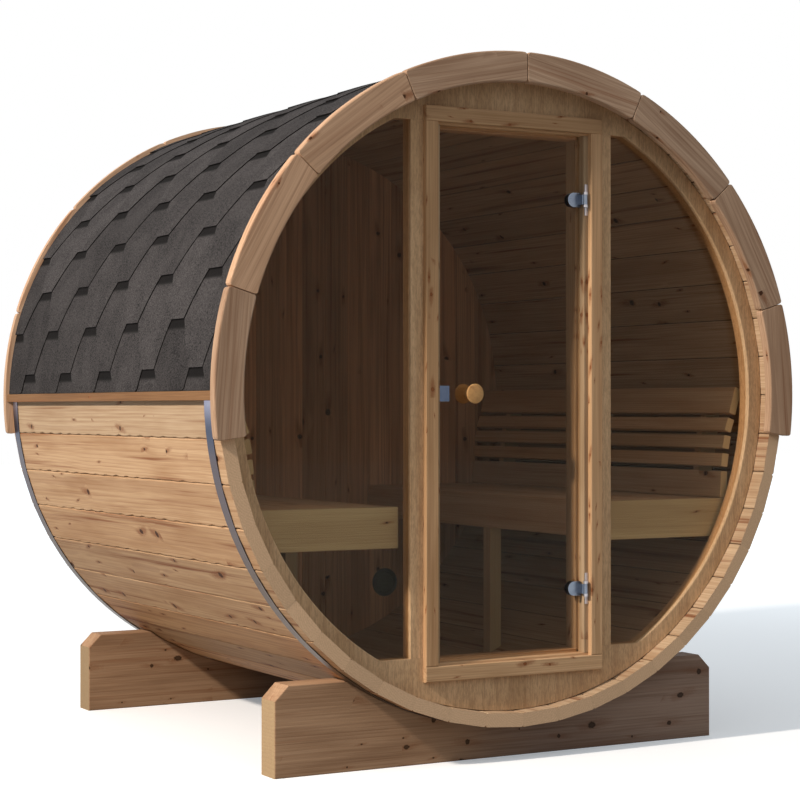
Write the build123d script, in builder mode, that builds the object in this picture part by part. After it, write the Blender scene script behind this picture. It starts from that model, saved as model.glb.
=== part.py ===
"""Barrel sauna: a round stave cabin on two cradles, with a glazed front and a hinged glass door.

Millimetres, +Z up. The front faces -Y. The origin is on the ground, under the middle of the barrel.
Depths are measured back from the front ends of the staves, and heights from the barrel's axis.
"""

from build123d import *

import os
from math import asin, cos, degrees, radians, sin, sqrt

# ---------------------------------------------------------------- driving dimensions

# Barrel of straight staves
stave_count = 48
barrel_radius = 1000.0          # axis to the outer corner of a stave
stave_thickness = 42.0
barrel_length = 1760.0
panel_count = 12                # the staves are grouped in this many wall panels
ground_gap = 102.0              # lowest stave above the ground

# End walls, set back inside the stave ends
wall_recess = 52.0
wall_thickness = 45.0
wall_fit = 0.3                  # round wall inside the flats of the staves

# Cradles
cradle_half_width = 780.0
cradle_thickness = 90.0
cradle_height = 264.0
cradle_chamfer = 43.0
cradle_front_gap = 3.0          # front hoop to front cradle
cradle_rear_gap = 31.0          # rear cradle to rear hoop
cradle_fit = 0.3                # stave corner to saddle

# Steel hoops round the lower half
hoop_width = 45.0
hoop_thickness = 1.5
hoop_front_setback = 48.0
hoop_rear_setback = 12.0

# Roof covering and the battens along its lower edges
roof_thickness = 13.0
roof_fit = 0.3                  # stave corner to covering and hoops
batten_height = 27.0
batten_thickness = 18.0
batten_bottom = -22.0

# Curved trim boards over the stave ends
trim_overhang = 24.0            # beyond the outer corners of the staves
trim_width = 92.0
trim_thickness = 28.0
trim_board_count = 8
trim_board_angle = 24.4
trim_joint = 1.5
trim_corner = 11.0

# Windows beside the door
front_rim_width = 50.6          # wall left outside a window's round edge
post_width = 74.0               # between the door lining and a window
window_head_rise = 9.0          # window top above the lining's upper face
window_sill_rise = 18.0         # window bottom above the lining's lower face
window_setback = 13.0           # wall face to glass
window_fit = 0.5
glass_thickness = 8.0

# Door frame: a casing planted on the wall face and a lining through the wall
lining_half_width = 258.0
lining_half_height = 798.0
casing_reveal = 15.0            # lining left showing at the sides
casing_rail_reveal = 7.0        # lining left showing at the head and the sill
casing_width = 43.0
casing_rail = 46.0
casing_thickness = 18.0
lining_thickness = 27.0
lining_depth = 85.0
stop_width = 10.0

# Glass door
door_gap = 6.0                  # glass edge to lining
door_setback = 19.0             # wall face to door glass
door_stop_gap = 5.0             # glass to the stop behind it
hinge_height = 600.0            # above and below the axis
hinge_axis_inset = 2.0          # inside the lining's inner face
hinge_axis_stand_off = 10.5     # in front of the wall face
hinge_barrel_radius = 6.5
hinge_barrel_height = 30.0
hinge_end_gap = 0.5
hinge_lug_height = 8.0
pin_radius = 4.0
pin_clearance = 0.06
hinge_web_width = 7.0
hinge_plate_inset = 1.5         # plate edge to the lining's arris
hinge_plate_width = 12.0
hinge_plate_height = 96.0
hinge_plate_thickness = 3.0
clamp_height = 44.0
clamp_reach = 46.0
clamp_thickness = 9.0
clamp_back_thickness = 5.0
clamp_boss_radius = 8.0
clamp_overhang = 9.0            # the back pad stays this far inside the glass edge
knob_inset = 109.0              # glass edge to knob axis
knob_radius = 30.0
knob_base_radius = 19.0
knob_length = 33.0
knob_spindle_radius = 5.0
latch_inset = 2.0
latch_width = 34.0
latch_height = 47.0
latch_thickness = 2.0
hole_fit = 0.3

# Benches and backrests
bench_top = -336.0
bench_front = 368.0             # axis to the face of the bench fascia
bench_board = 27.0
plank_count = 4
plank_gap = 8.0
fascia_height = 117.0
end_board_height = 122.0
bench_end_gap = 12.0            # end walls to the benches
bench_wall_gap = 6.0            # planks and end boards to the staves
leg_width = 45.0
leg_centre = 797.0
slat_thickness = 27.0
support_thickness = 30.0
support_setback = 150.0
support_wall_gap = 4.0
# Height of each slat's top edge above the bench, its width, that edge's gap to the wall, its lean
slats = [
    ("upper board", 362.0, 88.0, 58.0, 17.0),
    ("upper slat", 263.0, 44.0, 85.0, 20.0),
    ("middle slat", 206.0, 43.0, 94.0, 12.0),
    ("lower slat", 147.0, 43.0, 93.0, 8.0),
    ("lower board", 88.0, 86.0, 85.0, 3.0),
]

# Vent low in the back wall
vent_angle = -57.8              # up from +X, round the barrel's axis
vent_wall_gap = 116.7           # vent centre to the staves
vent_radius = 54.0
vent_rim = 8.0
vent_flange = 3.0

# ---------------------------------------------------------------- worked out from them

front_end = -barrel_length / 2
axis_height = barrel_radius + ground_gap
stave_angle = 360.0 / stave_count
inner_radius = barrel_radius - stave_thickness
stave_flat = cos(radians(stave_angle / 2))
wall_radius = inner_radius * stave_flat - wall_fit
wall_back = wall_recess + wall_thickness
back_wall_front = barrel_length - wall_back
window_radius = wall_radius - front_rim_width
window_top = lining_half_height + window_head_rise
window_bottom = window_sill_rise - lining_half_height
casing_front = wall_recess - casing_thickness
casing_inner = lining_half_width + casing_reveal
casing_half_width = casing_inner + casing_width
casing_inner_height = lining_half_height + casing_rail_reveal
casing_half_height = casing_inner_height + casing_rail
lining_outer = lining_half_width + lining_thickness
lining_outer_height = lining_half_height + lining_thickness
lining_back = wall_recess + lining_depth
window_half_gap = lining_outer + post_width
door_front = wall_recess + door_setback
door_back = door_front + glass_thickness
stop_front = door_back + door_stop_gap
door_half_width = lining_half_width - door_gap
door_half_height = lining_half_height - door_gap
hinge_x = lining_half_width - hinge_axis_inset
hinge_depth = wall_recess - hinge_axis_stand_off
knob_x = knob_inset - door_half_width
bench_start = wall_back + bench_end_gap
bench_end = back_wall_front - bench_end_gap


# ---------------------------------------------------------------- helpers

def cross_section(depth):
    """Plane square to the barrel, with its normal towards the front."""
    return Plane(
        origin=(0, front_end + depth, axis_height), x_dir=(1, 0, 0), z_dir=(0, -1, 0)
    )


def level(height):
    """Horizontal plane at a height from the barrel's axis, its Y measured from the stave ends."""
    return Plane(origin=(0, front_end, axis_height + height), x_dir=(1, 0, 0), z_dir=(0, 0, 1))


def polar(radius, angle):
    """Point on a cross-section at an angle up from +X."""
    return (radius * cos(radians(angle)), radius * sin(radians(angle)))


def chord(height, radius):
    """Half-width of a circle at a height from its centre."""
    return sqrt(radius**2 - height**2)


def save(part, name):
    """Label a finished piece and write its STEP file."""
    part.label = name
    export_step(part, f"parts/{name}.step")


os.makedirs("parts", exist_ok=True)

# ---------------------------------------------------------------- barrel

staves_per_panel = stave_count // panel_count
for panel in range(panel_count):
    angles = [stave_angle * (panel * staves_per_panel + i) for i in range(staves_per_panel + 1)]
    outer = [polar(barrel_radius, a) for a in angles]
    inner = [polar(inner_radius, a) for a in reversed(angles)]
    with BuildPart() as stave_panel:
        with BuildSketch(cross_section(0)):
            with BuildLine():
                Polyline(*outer, *inner, close=True)
            make_face()
        extrude(amount=-barrel_length)
    save(stave_panel.part, f"stave_panel_{panel + 1:02d}")

# ---------------------------------------------------------------- cradles

hoop_depths = [hoop_front_setback, barrel_length - hoop_rear_setback - hoop_width]
cradle_depths = {
    "cradle_front": hoop_depths[0] + hoop_width + cradle_front_gap,
    "cradle_rear": hoop_depths[1] - cradle_rear_gap - cradle_thickness,
}
for name, depth in cradle_depths.items():
    with BuildPart() as cradle:
        with BuildSketch(cross_section(depth)):
            with Locations((0, -axis_height + cradle_height / 2)):
                Rectangle(2 * cradle_half_width, cradle_height)
            chamfer(vertices().group_by(Axis.Y)[-1], length=cradle_chamfer)
            Circle(barrel_radius + cradle_fit, mode=Mode.SUBTRACT)
        extrude(amount=-cradle_thickness)
    save(cradle.part, name)

# ---------------------------------------------------------------- hoops

hoop_inner = barrel_radius + roof_fit
hoop_outer = hoop_inner + hoop_thickness
with BuildPart() as hoops:
    for depth in hoop_depths:
        with BuildSketch(cross_section(depth)):
            Circle(hoop_outer)
            Circle(hoop_inner, mode=Mode.SUBTRACT)
            with Locations((0, batten_bottom - barrel_radius)):
                Rectangle(3 * barrel_radius, 2 * barrel_radius, mode=Mode.INTERSECT)
        extrude(amount=-hoop_width)
save(hoops.part, "hoops")

# ---------------------------------------------------------------- roof covering and battens

roof_inner = barrel_radius + roof_fit
roof_outer = roof_inner + roof_thickness
with BuildPart() as roof_covering:
    with BuildSketch(cross_section(0)):
        Circle(roof_outer)
        Circle(roof_inner, mode=Mode.SUBTRACT)
        with Locations((0, batten_bottom + batten_height + barrel_radius)):
            Rectangle(3 * barrel_radius, 2 * barrel_radius, mode=Mode.INTERSECT)
    extrude(amount=-barrel_length)
save(roof_covering.part, "roof_covering")

with BuildPart() as roof_battens:
    with BuildSketch(cross_section(0)):
        for side in (-1, 1):
            batten_x = side * (roof_inner + batten_thickness / 2)
            with Locations((batten_x, batten_bottom + batten_height / 2)):
                Rectangle(batten_thickness, batten_height)
    extrude(amount=-barrel_length)
save(roof_battens.part, "roof_battens")

# ---------------------------------------------------------------- trim rings

trim_start = 90.0 - trim_board_angle * trim_board_count / 2
trim_radius = barrel_radius + trim_overhang
trim_inner = trim_radius - trim_width
for name, depth in {"trim_front": -trim_thickness, "trim_rear": barrel_length}.items():
    with BuildPart() as trim_ring:
        for board in range(trim_board_count):
            start = trim_start + board * trim_board_angle
            finish = start + trim_board_angle
            middle = (start + finish) / 2
            outer_shift = degrees(asin(trim_joint / 2 / trim_radius))
            inner_shift = degrees(asin(trim_joint / 2 / trim_inner))
            low_out = polar(trim_radius, start + outer_shift)
            high_out = polar(trim_radius, finish - outer_shift)
            low_in = polar(trim_inner, start + inner_shift)
            high_in = polar(trim_inner, finish - inner_shift)
            with BuildSketch(cross_section(depth)):
                with BuildLine():
                    ThreePointArc(low_out, polar(trim_radius, middle), high_out)
                    Line(high_out, high_in)
                    ThreePointArc(high_in, polar(trim_inner, middle), low_in)
                    Line(low_in, low_out)
                make_face()
                fillet(vertices(), radius=trim_corner)
            extrude(amount=-trim_thickness)
    save(trim_ring.part, name)

# ---------------------------------------------------------------- front wall

front_wall_plane = cross_section(wall_recess)
with BuildPart() as front_wall_top:
    with BuildSketch(front_wall_plane):
        Circle(wall_radius)
        with Locations((0, window_top + barrel_radius)):
            Rectangle(3 * barrel_radius, 2 * barrel_radius, mode=Mode.INTERSECT)
        Rectangle(2 * lining_outer, 2 * lining_outer_height, mode=Mode.SUBTRACT)
    extrude(amount=-wall_thickness)
save(front_wall_top.part, "front_wall_top")

with BuildPart() as front_wall_bottom:
    with BuildSketch(front_wall_plane):
        Circle(wall_radius)
        with Locations((0, window_bottom - barrel_radius)):
            Rectangle(3 * barrel_radius, 2 * barrel_radius, mode=Mode.INTERSECT)
        Rectangle(2 * lining_outer, 2 * lining_outer_height, mode=Mode.SUBTRACT)
    extrude(amount=-wall_thickness)
save(front_wall_bottom.part, "front_wall_bottom")

window_height = window_top - window_bottom
window_middle = (window_top + window_bottom) / 2
post_x = lining_outer + post_width / 2
for side, hand in ((-1, "left"), (1, "right")):
    with BuildPart() as front_wall_rim:
        with BuildSketch(front_wall_plane):
            Circle(wall_radius)
            Circle(window_radius, mode=Mode.SUBTRACT)
            with Locations((side * barrel_radius, window_middle)):
                Rectangle(2 * barrel_radius, window_height, mode=Mode.INTERSECT)
        extrude(amount=-wall_thickness)
    save(front_wall_rim.part, f"front_wall_{hand}")

    with BuildPart() as front_post:
        with BuildSketch(front_wall_plane):
            with Locations((side * post_x, window_middle)):
                Rectangle(post_width, window_height)
            Circle(window_radius, mode=Mode.INTERSECT)
        extrude(amount=-wall_thickness)
    save(front_post.part, f"front_post_{hand}")

# ---------------------------------------------------------------- windows

pane_gap = window_half_gap + window_fit
for side, hand in ((-1, "left"), (1, "right")):
    with BuildPart() as window:
        with BuildSketch(cross_section(wall_recess + window_setback)):
            Circle(window_radius - window_fit)
            with Locations((side * (pane_gap + barrel_radius), window_middle)):
                Rectangle(2 * barrel_radius, window_height - 2 * window_fit, mode=Mode.INTERSECT)
        extrude(amount=-glass_thickness)
    save(window.part, f"window_{hand}")

# ---------------------------------------------------------------- door frame

stop_half_width = lining_half_width - stop_width
stop_half_height = lining_half_height - stop_width
for side, hand in ((-1, "left"), (1, "right")):
    with BuildPart() as frame_side:
        with BuildSketch(level(-lining_half_height)):
            with BuildLine():
                Polyline(
                    (side * casing_half_width, casing_front),
                    (side * casing_half_width, wall_recess),
                    (side * lining_outer, wall_recess),
                    (side * lining_outer, lining_back),
                    (side * stop_half_width, lining_back),
                    (side * stop_half_width, stop_front),
                    (side * lining_half_width, stop_front),
                    (side * lining_half_width, wall_recess),
                    (side * casing_inner, wall_recess),
                    (side * casing_inner, casing_front),
                    close=True,
                )
            make_face()
        extrude(amount=2 * lining_half_height)
    save(frame_side.part, f"door_frame_{hand}")

for side, name in ((1, "door_frame_head"), (-1, "door_frame_sill")):
    with BuildPart() as frame_rail:
        with BuildSketch(cross_section(casing_front)):
            with Locations((0, side * (casing_half_height + lining_half_height) / 2)):
                Rectangle(2 * casing_half_width, casing_half_height - lining_half_height)
            with Locations((0, side * (casing_inner_height + lining_half_height) / 2)):
                Rectangle(
                    2 * casing_inner, casing_inner_height - lining_half_height, mode=Mode.SUBTRACT
                )
        extrude(amount=-casing_thickness)
        with BuildSketch(cross_section(wall_recess)):
            with Locations((0, side * (lining_outer_height + lining_half_height) / 2)):
                Rectangle(2 * lining_outer, lining_thickness)
        extrude(amount=-lining_depth)
        with BuildSketch(cross_section(stop_front)):
            with Locations((0, side * (lining_half_height - stop_width / 2))):
                Rectangle(2 * stop_half_width, stop_width)
        extrude(amount=-(lining_back - stop_front))
    save(frame_rail.part, name)

# ---------------------------------------------------------------- back wall and its vent

vent_centre = polar(wall_radius - vent_wall_gap, vent_angle)
with BuildPart() as back_wall:
    with BuildSketch(cross_section(back_wall_front)):
        Circle(wall_radius)
        with Locations(vent_centre):
            Circle(vent_radius - vent_rim, mode=Mode.SUBTRACT)
    extrude(amount=-wall_thickness)
save(back_wall.part, "back_wall")

with BuildPart() as vent:
    for depth in (back_wall_front - vent_flange, back_wall_front + wall_thickness):
        with BuildSketch(cross_section(depth)):
            with Locations(vent_centre):
                Circle(vent_radius)
        extrude(amount=-vent_flange)
    with BuildSketch(cross_section(back_wall_front)):
        with Locations(vent_centre):
            Circle(vent_radius - vent_rim - hole_fit)
    extrude(amount=-wall_thickness)
save(vent.part, "vent")

# ---------------------------------------------------------------- benches

plank_start = bench_start + bench_board
plank_outer = chord(bench_top - bench_board, wall_radius) - bench_wall_gap
plank_space = plank_outer - bench_front - bench_board
plank_width = (plank_space - plank_count * plank_gap) / plank_count
end_board_top = {bench_start: bench_top, bench_end - bench_board: bench_top - bench_board}
for side, hand in ((-1, "left"), (1, "right")):
    with BuildPart() as planks:
        with BuildSketch(cross_section(plank_start)):
            for plank in range(plank_count):
                inner_edge = bench_front + bench_board + plank_gap + plank * (plank_width + plank_gap)
                plank_x = side * (inner_edge + plank_width / 2)
                with Locations((plank_x, bench_top - bench_board / 2)):
                    Rectangle(plank_width, bench_board)
        extrude(amount=-(bench_end - plank_start))
    save(planks.part, f"bench_top_{hand}")

with BuildPart() as bench_fascias:
    with BuildSketch(cross_section(plank_start)):
        for side in (-1, 1):
            with Locations((side * (bench_front + bench_board / 2), bench_top - fascia_height / 2)):
                Rectangle(bench_board, fascia_height)
    extrude(amount=-(bench_end - plank_start))
save(bench_fascias.part, "bench_fascias")

with BuildPart() as bench_ends:
    for depth, top in end_board_top.items():
        inner_edge = bench_front if depth == bench_start else bench_front + bench_board
        bottom = bench_top - end_board_height
        for side in (-1, 1):
            with BuildSketch(cross_section(depth)):
                Circle(wall_radius - bench_wall_gap)
                with Locations((side * (inner_edge + barrel_radius / 2), (top + bottom) / 2)):
                    Rectangle(barrel_radius, top - bottom, mode=Mode.INTERSECT)
            extrude(amount=-bench_board)
save(bench_ends.part, "bench_ends")

leg_top = bench_top - fascia_height
with BuildPart() as bench_legs:
    for side in (-1, 1):
        with BuildSketch(cross_section(leg_centre - leg_width / 2)):
            Circle(wall_radius)
            with Locations((side * (bench_front + leg_width / 2), leg_top - barrel_radius / 2)):
                Rectangle(leg_width, barrel_radius, mode=Mode.INTERSECT)
        extrude(amount=-leg_width)
save(bench_legs.part, "bench_legs")

# ---------------------------------------------------------------- backrests

support_depths = [
    bench_start + support_setback,
    (bench_start + bench_end - support_thickness) / 2,
    bench_end - support_setback - support_thickness,
]
for side, hand in ((-1, "left"), (1, "right")):
    backs = []
    with BuildPart() as backrest:
        with BuildSketch(cross_section(bench_start)):
            for _, rise, width, wall_gap, lean in slats:
                top = bench_top + rise
                distance = chord(top, wall_radius) - wall_gap
                across, up = cos(radians(lean)), sin(radians(lean))
                front_top = (distance, top)
                front_low = (distance - width * up, top - width * across)
                back_low = (front_low[0] + slat_thickness * across, front_low[1] - slat_thickness * up)
                back_top = (front_top[0] + slat_thickness * across, front_top[1] - slat_thickness * up)
                corners = [front_top, front_low, back_low, back_top]
                backs += [back_top, back_low]
                with BuildLine():
                    Polyline(*[(side * x, z) for x, z in corners], close=True)
                make_face()
        extrude(amount=-(bench_end - bench_start))
        outline = backs + [(barrel_radius, backs[-1][1]), (barrel_radius, backs[0][1])]
        for depth in support_depths:
            with BuildSketch(cross_section(depth)):
                with BuildLine():
                    Polyline(*[(side * x, z) for x, z in outline], close=True)
                make_face()
                Circle(wall_radius - support_wall_gap, mode=Mode.INTERSECT)
            extrude(amount=-support_thickness)
    save(backrest.part, f"backrest_{hand}")

# ---------------------------------------------------------------- glass door

clamp_heights = (-hinge_height, hinge_height)
clamp_centre_x = door_half_width - clamp_reach + clamp_height / 2
with BuildPart() as door_glass:
    with BuildSketch(cross_section(door_front)):
        Rectangle(2 * door_half_width, 2 * door_half_height)
        with Locations((knob_x, 0)):
            Circle(knob_spindle_radius + hole_fit, mode=Mode.SUBTRACT)
        with Locations(*[(clamp_centre_x, height) for height in clamp_heights]):
            Circle(clamp_boss_radius + hole_fit, mode=Mode.SUBTRACT)
    extrude(amount=-glass_thickness)
save(door_glass.part, "door_glass")

with BuildPart() as door_knobs:
    with BuildSketch(level(0)):
        with BuildLine():
            Polyline(
                (knob_x, door_front - knob_length),
                (knob_x + knob_radius, door_front - knob_length),
                (knob_x + knob_base_radius, door_front),
                (knob_x + knob_spindle_radius, door_front),
                (knob_x + knob_spindle_radius, door_back),
                (knob_x + knob_base_radius, door_back),
                (knob_x + knob_radius, door_back + knob_length),
                (knob_x, door_back + knob_length),
                close=True,
            )
        make_face()
    revolve(axis=Axis((knob_x, 0, axis_height), (0, 1, 0)))
save(door_knobs.part, "door_knobs")

latch_x = latch_width / 2 + latch_inset - door_half_width
with BuildPart() as latch_plate:
    with BuildSketch(cross_section(door_front - latch_thickness)):
        with Locations((latch_x, 0)):
            Rectangle(latch_width, latch_height)
    extrude(amount=-latch_thickness)
save(latch_plate.part, "latch_plate")

# ---------------------------------------------------------------- hinges

web_inner = door_half_width - hinge_web_width
with BuildPart() as hinge_clamps:
    for height in clamp_heights:
        with BuildSketch(cross_section(door_front - clamp_thickness)):
            with Locations((clamp_centre_x, height)):
                Circle(clamp_height / 2)
            with Locations(((clamp_centre_x + door_half_width) / 2, height)):
                Rectangle(door_half_width - clamp_centre_x, clamp_height)
        extrude(amount=-clamp_thickness)
        with BuildSketch(cross_section(door_front)):
            with Locations((clamp_centre_x, height)):
                Circle(clamp_boss_radius)
        extrude(amount=-glass_thickness)
        back_edge = door_half_width - clamp_overhang
        with BuildSketch(cross_section(door_back)):
            with Locations((clamp_centre_x, height)):
                Circle(clamp_height / 2)
            with Locations(((clamp_centre_x + back_edge) / 2, height)):
                Rectangle(back_edge - clamp_centre_x, clamp_height)
            with Locations((back_edge - barrel_radius, height)):
                Rectangle(2 * barrel_radius, clamp_height, mode=Mode.INTERSECT)
        extrude(amount=-clamp_back_thickness)
        with BuildSketch(level(height - hinge_barrel_height / 2)):
            with Locations((hinge_x, hinge_depth)):
                Circle(hinge_barrel_radius)
            with Locations((web_inner + hinge_web_width / 2, (hinge_depth + door_front) / 2)):
                Rectangle(hinge_web_width, door_front - hinge_depth)
            with Locations((hinge_x, hinge_depth)):
                Circle(pin_radius + pin_clearance, mode=Mode.SUBTRACT)
        extrude(amount=hinge_barrel_height)
save(hinge_clamps.part, "hinge_clamps")

lug_offset = hinge_barrel_height / 2 + hinge_end_gap
with BuildPart() as hinge_plates:
    for height in clamp_heights:
        plate_x = lining_half_width + hinge_plate_inset + hinge_plate_width / 2
        with BuildSketch(cross_section(wall_recess - hinge_plate_thickness)):
            with Locations((plate_x, height)):
                Rectangle(hinge_plate_width, hinge_plate_height)
        extrude(amount=-hinge_plate_thickness)
        for bottom in (lug_offset, -lug_offset - hinge_lug_height):
            with BuildSketch(level(height + bottom)):
                with Locations((hinge_x, hinge_depth)):
                    Circle(hinge_barrel_radius)
                plate_front = wall_recess - hinge_plate_thickness
                with Locations(((hinge_x + plate_x) / 2, (hinge_depth + plate_front) / 2)):
                    Rectangle(plate_x - hinge_x, plate_front - hinge_depth)
            extrude(amount=hinge_lug_height)
        with BuildSketch(level(height - lug_offset)):
            with Locations((hinge_x, hinge_depth)):
                Circle(pin_radius)
        extrude(amount=2 * lug_offset)
save(hinge_plates.part, "hinge_plates")
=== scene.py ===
"""Looks of a barrel sauna: every board, shingle, pane and fitting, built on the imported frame.

Metres, +Z up, the glazed front facing -Y. Positions are given from the barrel's axis: u to the
right, v up, and w back from the front ends of the staves.
"""

import logging
import math
import random
from dataclasses import dataclass, field
from enum import Enum, IntEnum
from typing import Callable, Iterable, Sequence

import bmesh
import bpy
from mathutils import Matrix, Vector

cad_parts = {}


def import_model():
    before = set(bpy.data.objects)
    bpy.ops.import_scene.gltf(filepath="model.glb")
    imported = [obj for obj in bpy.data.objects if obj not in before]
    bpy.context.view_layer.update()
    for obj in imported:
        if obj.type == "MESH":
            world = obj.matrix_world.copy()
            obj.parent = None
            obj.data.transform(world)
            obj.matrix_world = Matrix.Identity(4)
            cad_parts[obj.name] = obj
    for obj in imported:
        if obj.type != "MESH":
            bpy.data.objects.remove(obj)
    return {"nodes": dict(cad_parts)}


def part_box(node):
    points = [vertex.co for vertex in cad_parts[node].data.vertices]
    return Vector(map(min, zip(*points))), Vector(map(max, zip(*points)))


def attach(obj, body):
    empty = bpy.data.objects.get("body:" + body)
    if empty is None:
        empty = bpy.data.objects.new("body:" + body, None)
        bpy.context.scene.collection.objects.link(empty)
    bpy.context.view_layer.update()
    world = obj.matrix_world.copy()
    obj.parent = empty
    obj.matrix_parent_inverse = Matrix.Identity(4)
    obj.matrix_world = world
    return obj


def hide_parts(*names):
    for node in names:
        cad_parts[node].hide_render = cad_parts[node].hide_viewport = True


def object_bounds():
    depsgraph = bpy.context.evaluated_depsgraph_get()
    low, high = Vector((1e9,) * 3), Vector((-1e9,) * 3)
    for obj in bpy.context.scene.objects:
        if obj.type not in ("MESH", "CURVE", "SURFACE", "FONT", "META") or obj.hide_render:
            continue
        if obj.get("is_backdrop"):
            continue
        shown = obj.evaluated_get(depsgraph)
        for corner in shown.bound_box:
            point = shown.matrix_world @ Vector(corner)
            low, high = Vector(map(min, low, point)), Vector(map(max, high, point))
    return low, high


log = logging.getLogger("barrel_sauna")

Point2 = tuple[float, float]
Point3 = tuple[float, float, float]
Colour = tuple[float, float, float, float]
Face = Sequence[int]
Socket = bpy.types.NodeSocket
Operand = float | Socket

CABIN = "cabin"
DOOR = "door"

# Sizes that more than one sub-assembly needs.
WALL_FACE = 0.052
WALL_THICKNESS = 0.045
WALL_RADIUS = 0.9555
VENT_CENTRE = (0.447, -0.710)
BENCH_RADIUS = 0.95565
BENCH_TOP = -0.336
BENCH_BOARD = 0.027
BENCH_START = 0.109
BENCH_END = 1.651


class Grain(Enum):
    """Which way the fibres of a board run in its own place frame."""

    ALONG_U = 0
    ALONG_V = 1
    ALONG_W = 2


class Side(IntEnum):
    """Side of the barrel, as the sign of u."""

    LEFT = -1
    RIGHT = 1

    @property
    def hand(self) -> str:
        """How the side is called in names."""
        return self.name.lower()


def linear(pair: str) -> float:
    """One channel of a paint code, from display to linear."""
    level = int(pair, 16) / 255
    return level / 12.92 if level <= 0.04045 else ((level + 0.055) / 1.055) ** 2.4


def srgb(code: str) -> Colour:
    """Linear colour of a six-figure paint code."""
    return (linear(code[0:2]), linear(code[2:4]), linear(code[4:6]), 1.0)


def polar(radius: float, angle: float) -> Point2:
    """Point at a radius and an angle in degrees up from the right."""
    return (radius * math.cos(math.radians(angle)), radius * math.sin(math.radians(angle)))


def rise_angle(height: float, radius: float) -> float:
    """Angle in degrees at which a circle about the axis reaches a height."""
    return math.degrees(math.asin(height / radius))


def half_chord(radius: float, offset: float, least: float = 0.0) -> float:
    """Half the chord of a circle at an offset from its centre, or at least the least."""
    return math.sqrt(max(radius**2 - offset**2, least**2))


def arc(radius: float, start: float, end: float, step: float = 1.5) -> list[Point2]:
    """Points along an arc about the barrel's axis.

    Args:
        radius: Radius of the arc.
        start: First angle in degrees.
        end: Last angle in degrees.
        step: Largest angle between two points.

    Returns:
        The points, both ends included.
    """
    count = max(1, math.ceil(abs(end - start) / step))
    return [polar(radius, start + (end - start) * i / count) for i in range(count + 1)]


def rectangle(left: float, right: float, low: float, high: float) -> list[Point2]:
    """Corners of an upright rectangle, counter-clockwise."""
    return [(left, low), (right, low), (right, high), (left, high)]


def mirrored(outline: Sequence[Point2], side: int) -> list[Point2]:
    """The outline as it stands on one side: 1 or right keeps it, -1 or left mirrors it."""
    return list(outline) if side > 0 else [(-u, v) for u, v in reversed(outline)]


def rounded(outline: Sequence[Point2], radius: float, steps: int = 3) -> list[Point2]:
    """Rounds the sharp corners of a counter-clockwise outline.

    Args:
        outline: Corners of the outline.
        radius: Radius of each rounded corner.
        steps: Flats that stand for each corner's arc.

    Returns:
        The outline with an arc at every corner that turns by more than 30 degrees outwards.
    """
    least_turn = math.radians(30)
    most_of_side = 0.49
    result: list[Point2] = []
    count = len(outline)
    for i in range(count):
        here = Vector(outline[i])
        back = Vector(outline[i - 1]) - here
        ahead = Vector(outline[(i + 1) % count]) - here
        turn = math.pi - back.angle(ahead)
        convex = back.x * ahead.y - back.y * ahead.x < 0
        if turn < least_turn or not convex:
            result.append(tuple(here))
            continue
        reach = min(radius * math.tan(turn / 2), back.length * most_of_side,
                    ahead.length * most_of_side)
        start, end = here + back.normalized() * reach, here + ahead.normalized() * reach
        for k in range(steps + 1):
            t = k / steps
            point = start * (1 - t) ** 2 + here * 2 * t * (1 - t) + end * t**2
            result.append((point.x, point.y))
    return result


def inset(outline: Sequence[Point2], amount: float, weights: Sequence[float]) -> list[Point2]:
    """Moves the corners of a counter-clockwise outline inwards.

    Args:
        outline: Corners of the outline.
        amount: Distance that each side moves in.
        weights: Share of the distance for each corner.

    Returns:
        The smaller outline, with as many corners.
    """
    most_stretch = 2.5
    result = []
    count = len(outline)
    for i in range(count):
        here = Vector(outline[i])
        before = (here - Vector(outline[i - 1])).normalized()
        after = (Vector(outline[(i + 1) % count]) - here).normalized()
        normal = Vector((-before.y - after.y, before.x + after.x))
        length = max(normal.length, 1e-6)
        scale = amount * weights[i] * min(2 / length, most_stretch) / length
        result.append((here.x + normal.x * scale, here.y + normal.y * scale))
    return result


def arris_levels(face: float, radius: float, towards: int = 1) -> list[Point2]:
    """Quarter round from a face to the sides of a board.

    Args:
        face: Where the face lies along w.
        radius: Radius of the arris.
        towards: 1 where the board lies behind its face and -1 where it lies in front.

    Returns:
        Distance along w and inset of each level, the face first.
    """
    turns = [math.radians(angle) for angle in (90, 60, 30, 0)]
    return [(face + towards * radius * (1 - math.sin(turn)), radius * (1 - math.cos(turn)))
            for turn in turns]


@dataclass(frozen=True)
class Place:
    """A right-handed place frame: a point and three directions."""

    origin: Vector
    u: Vector
    v: Vector
    w: Vector

    def point(self, u: float, v: float, w: float) -> Vector:
        """World point of three local distances."""
        return self.origin + self.u * u + self.v * v + self.w * w

    def local(self, point: Vector) -> Vector:
        """Local distances of a world point."""
        offset = point - self.origin
        return Vector((offset.dot(self.u), offset.dot(self.v), offset.dot(self.w)))

    def loops(self, levels: Iterable[tuple[float, Sequence[Point2]]]) -> list[list[Vector]]:
        """World points of an outline at each distance along w."""
        return [[self.point(u, v, w) for u, v in outline] for w, outline in levels]

    def fibres(self, grain: Grain) -> "Place":
        """Frame for the fibres of a board: along them, across its face, and out of it.

        Args:
            grain: Which way the fibres run here.

        Returns:
            The frame.
        """
        if grain is Grain.ALONG_U:
            return Place(self.origin, self.u, self.v, -self.w)
        if grain is Grain.ALONG_V:
            return Place(self.origin, self.v, self.u, -self.w)
        return Place(self.origin, self.w, self.u, self.v)


# ---- shader wiring ----


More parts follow.
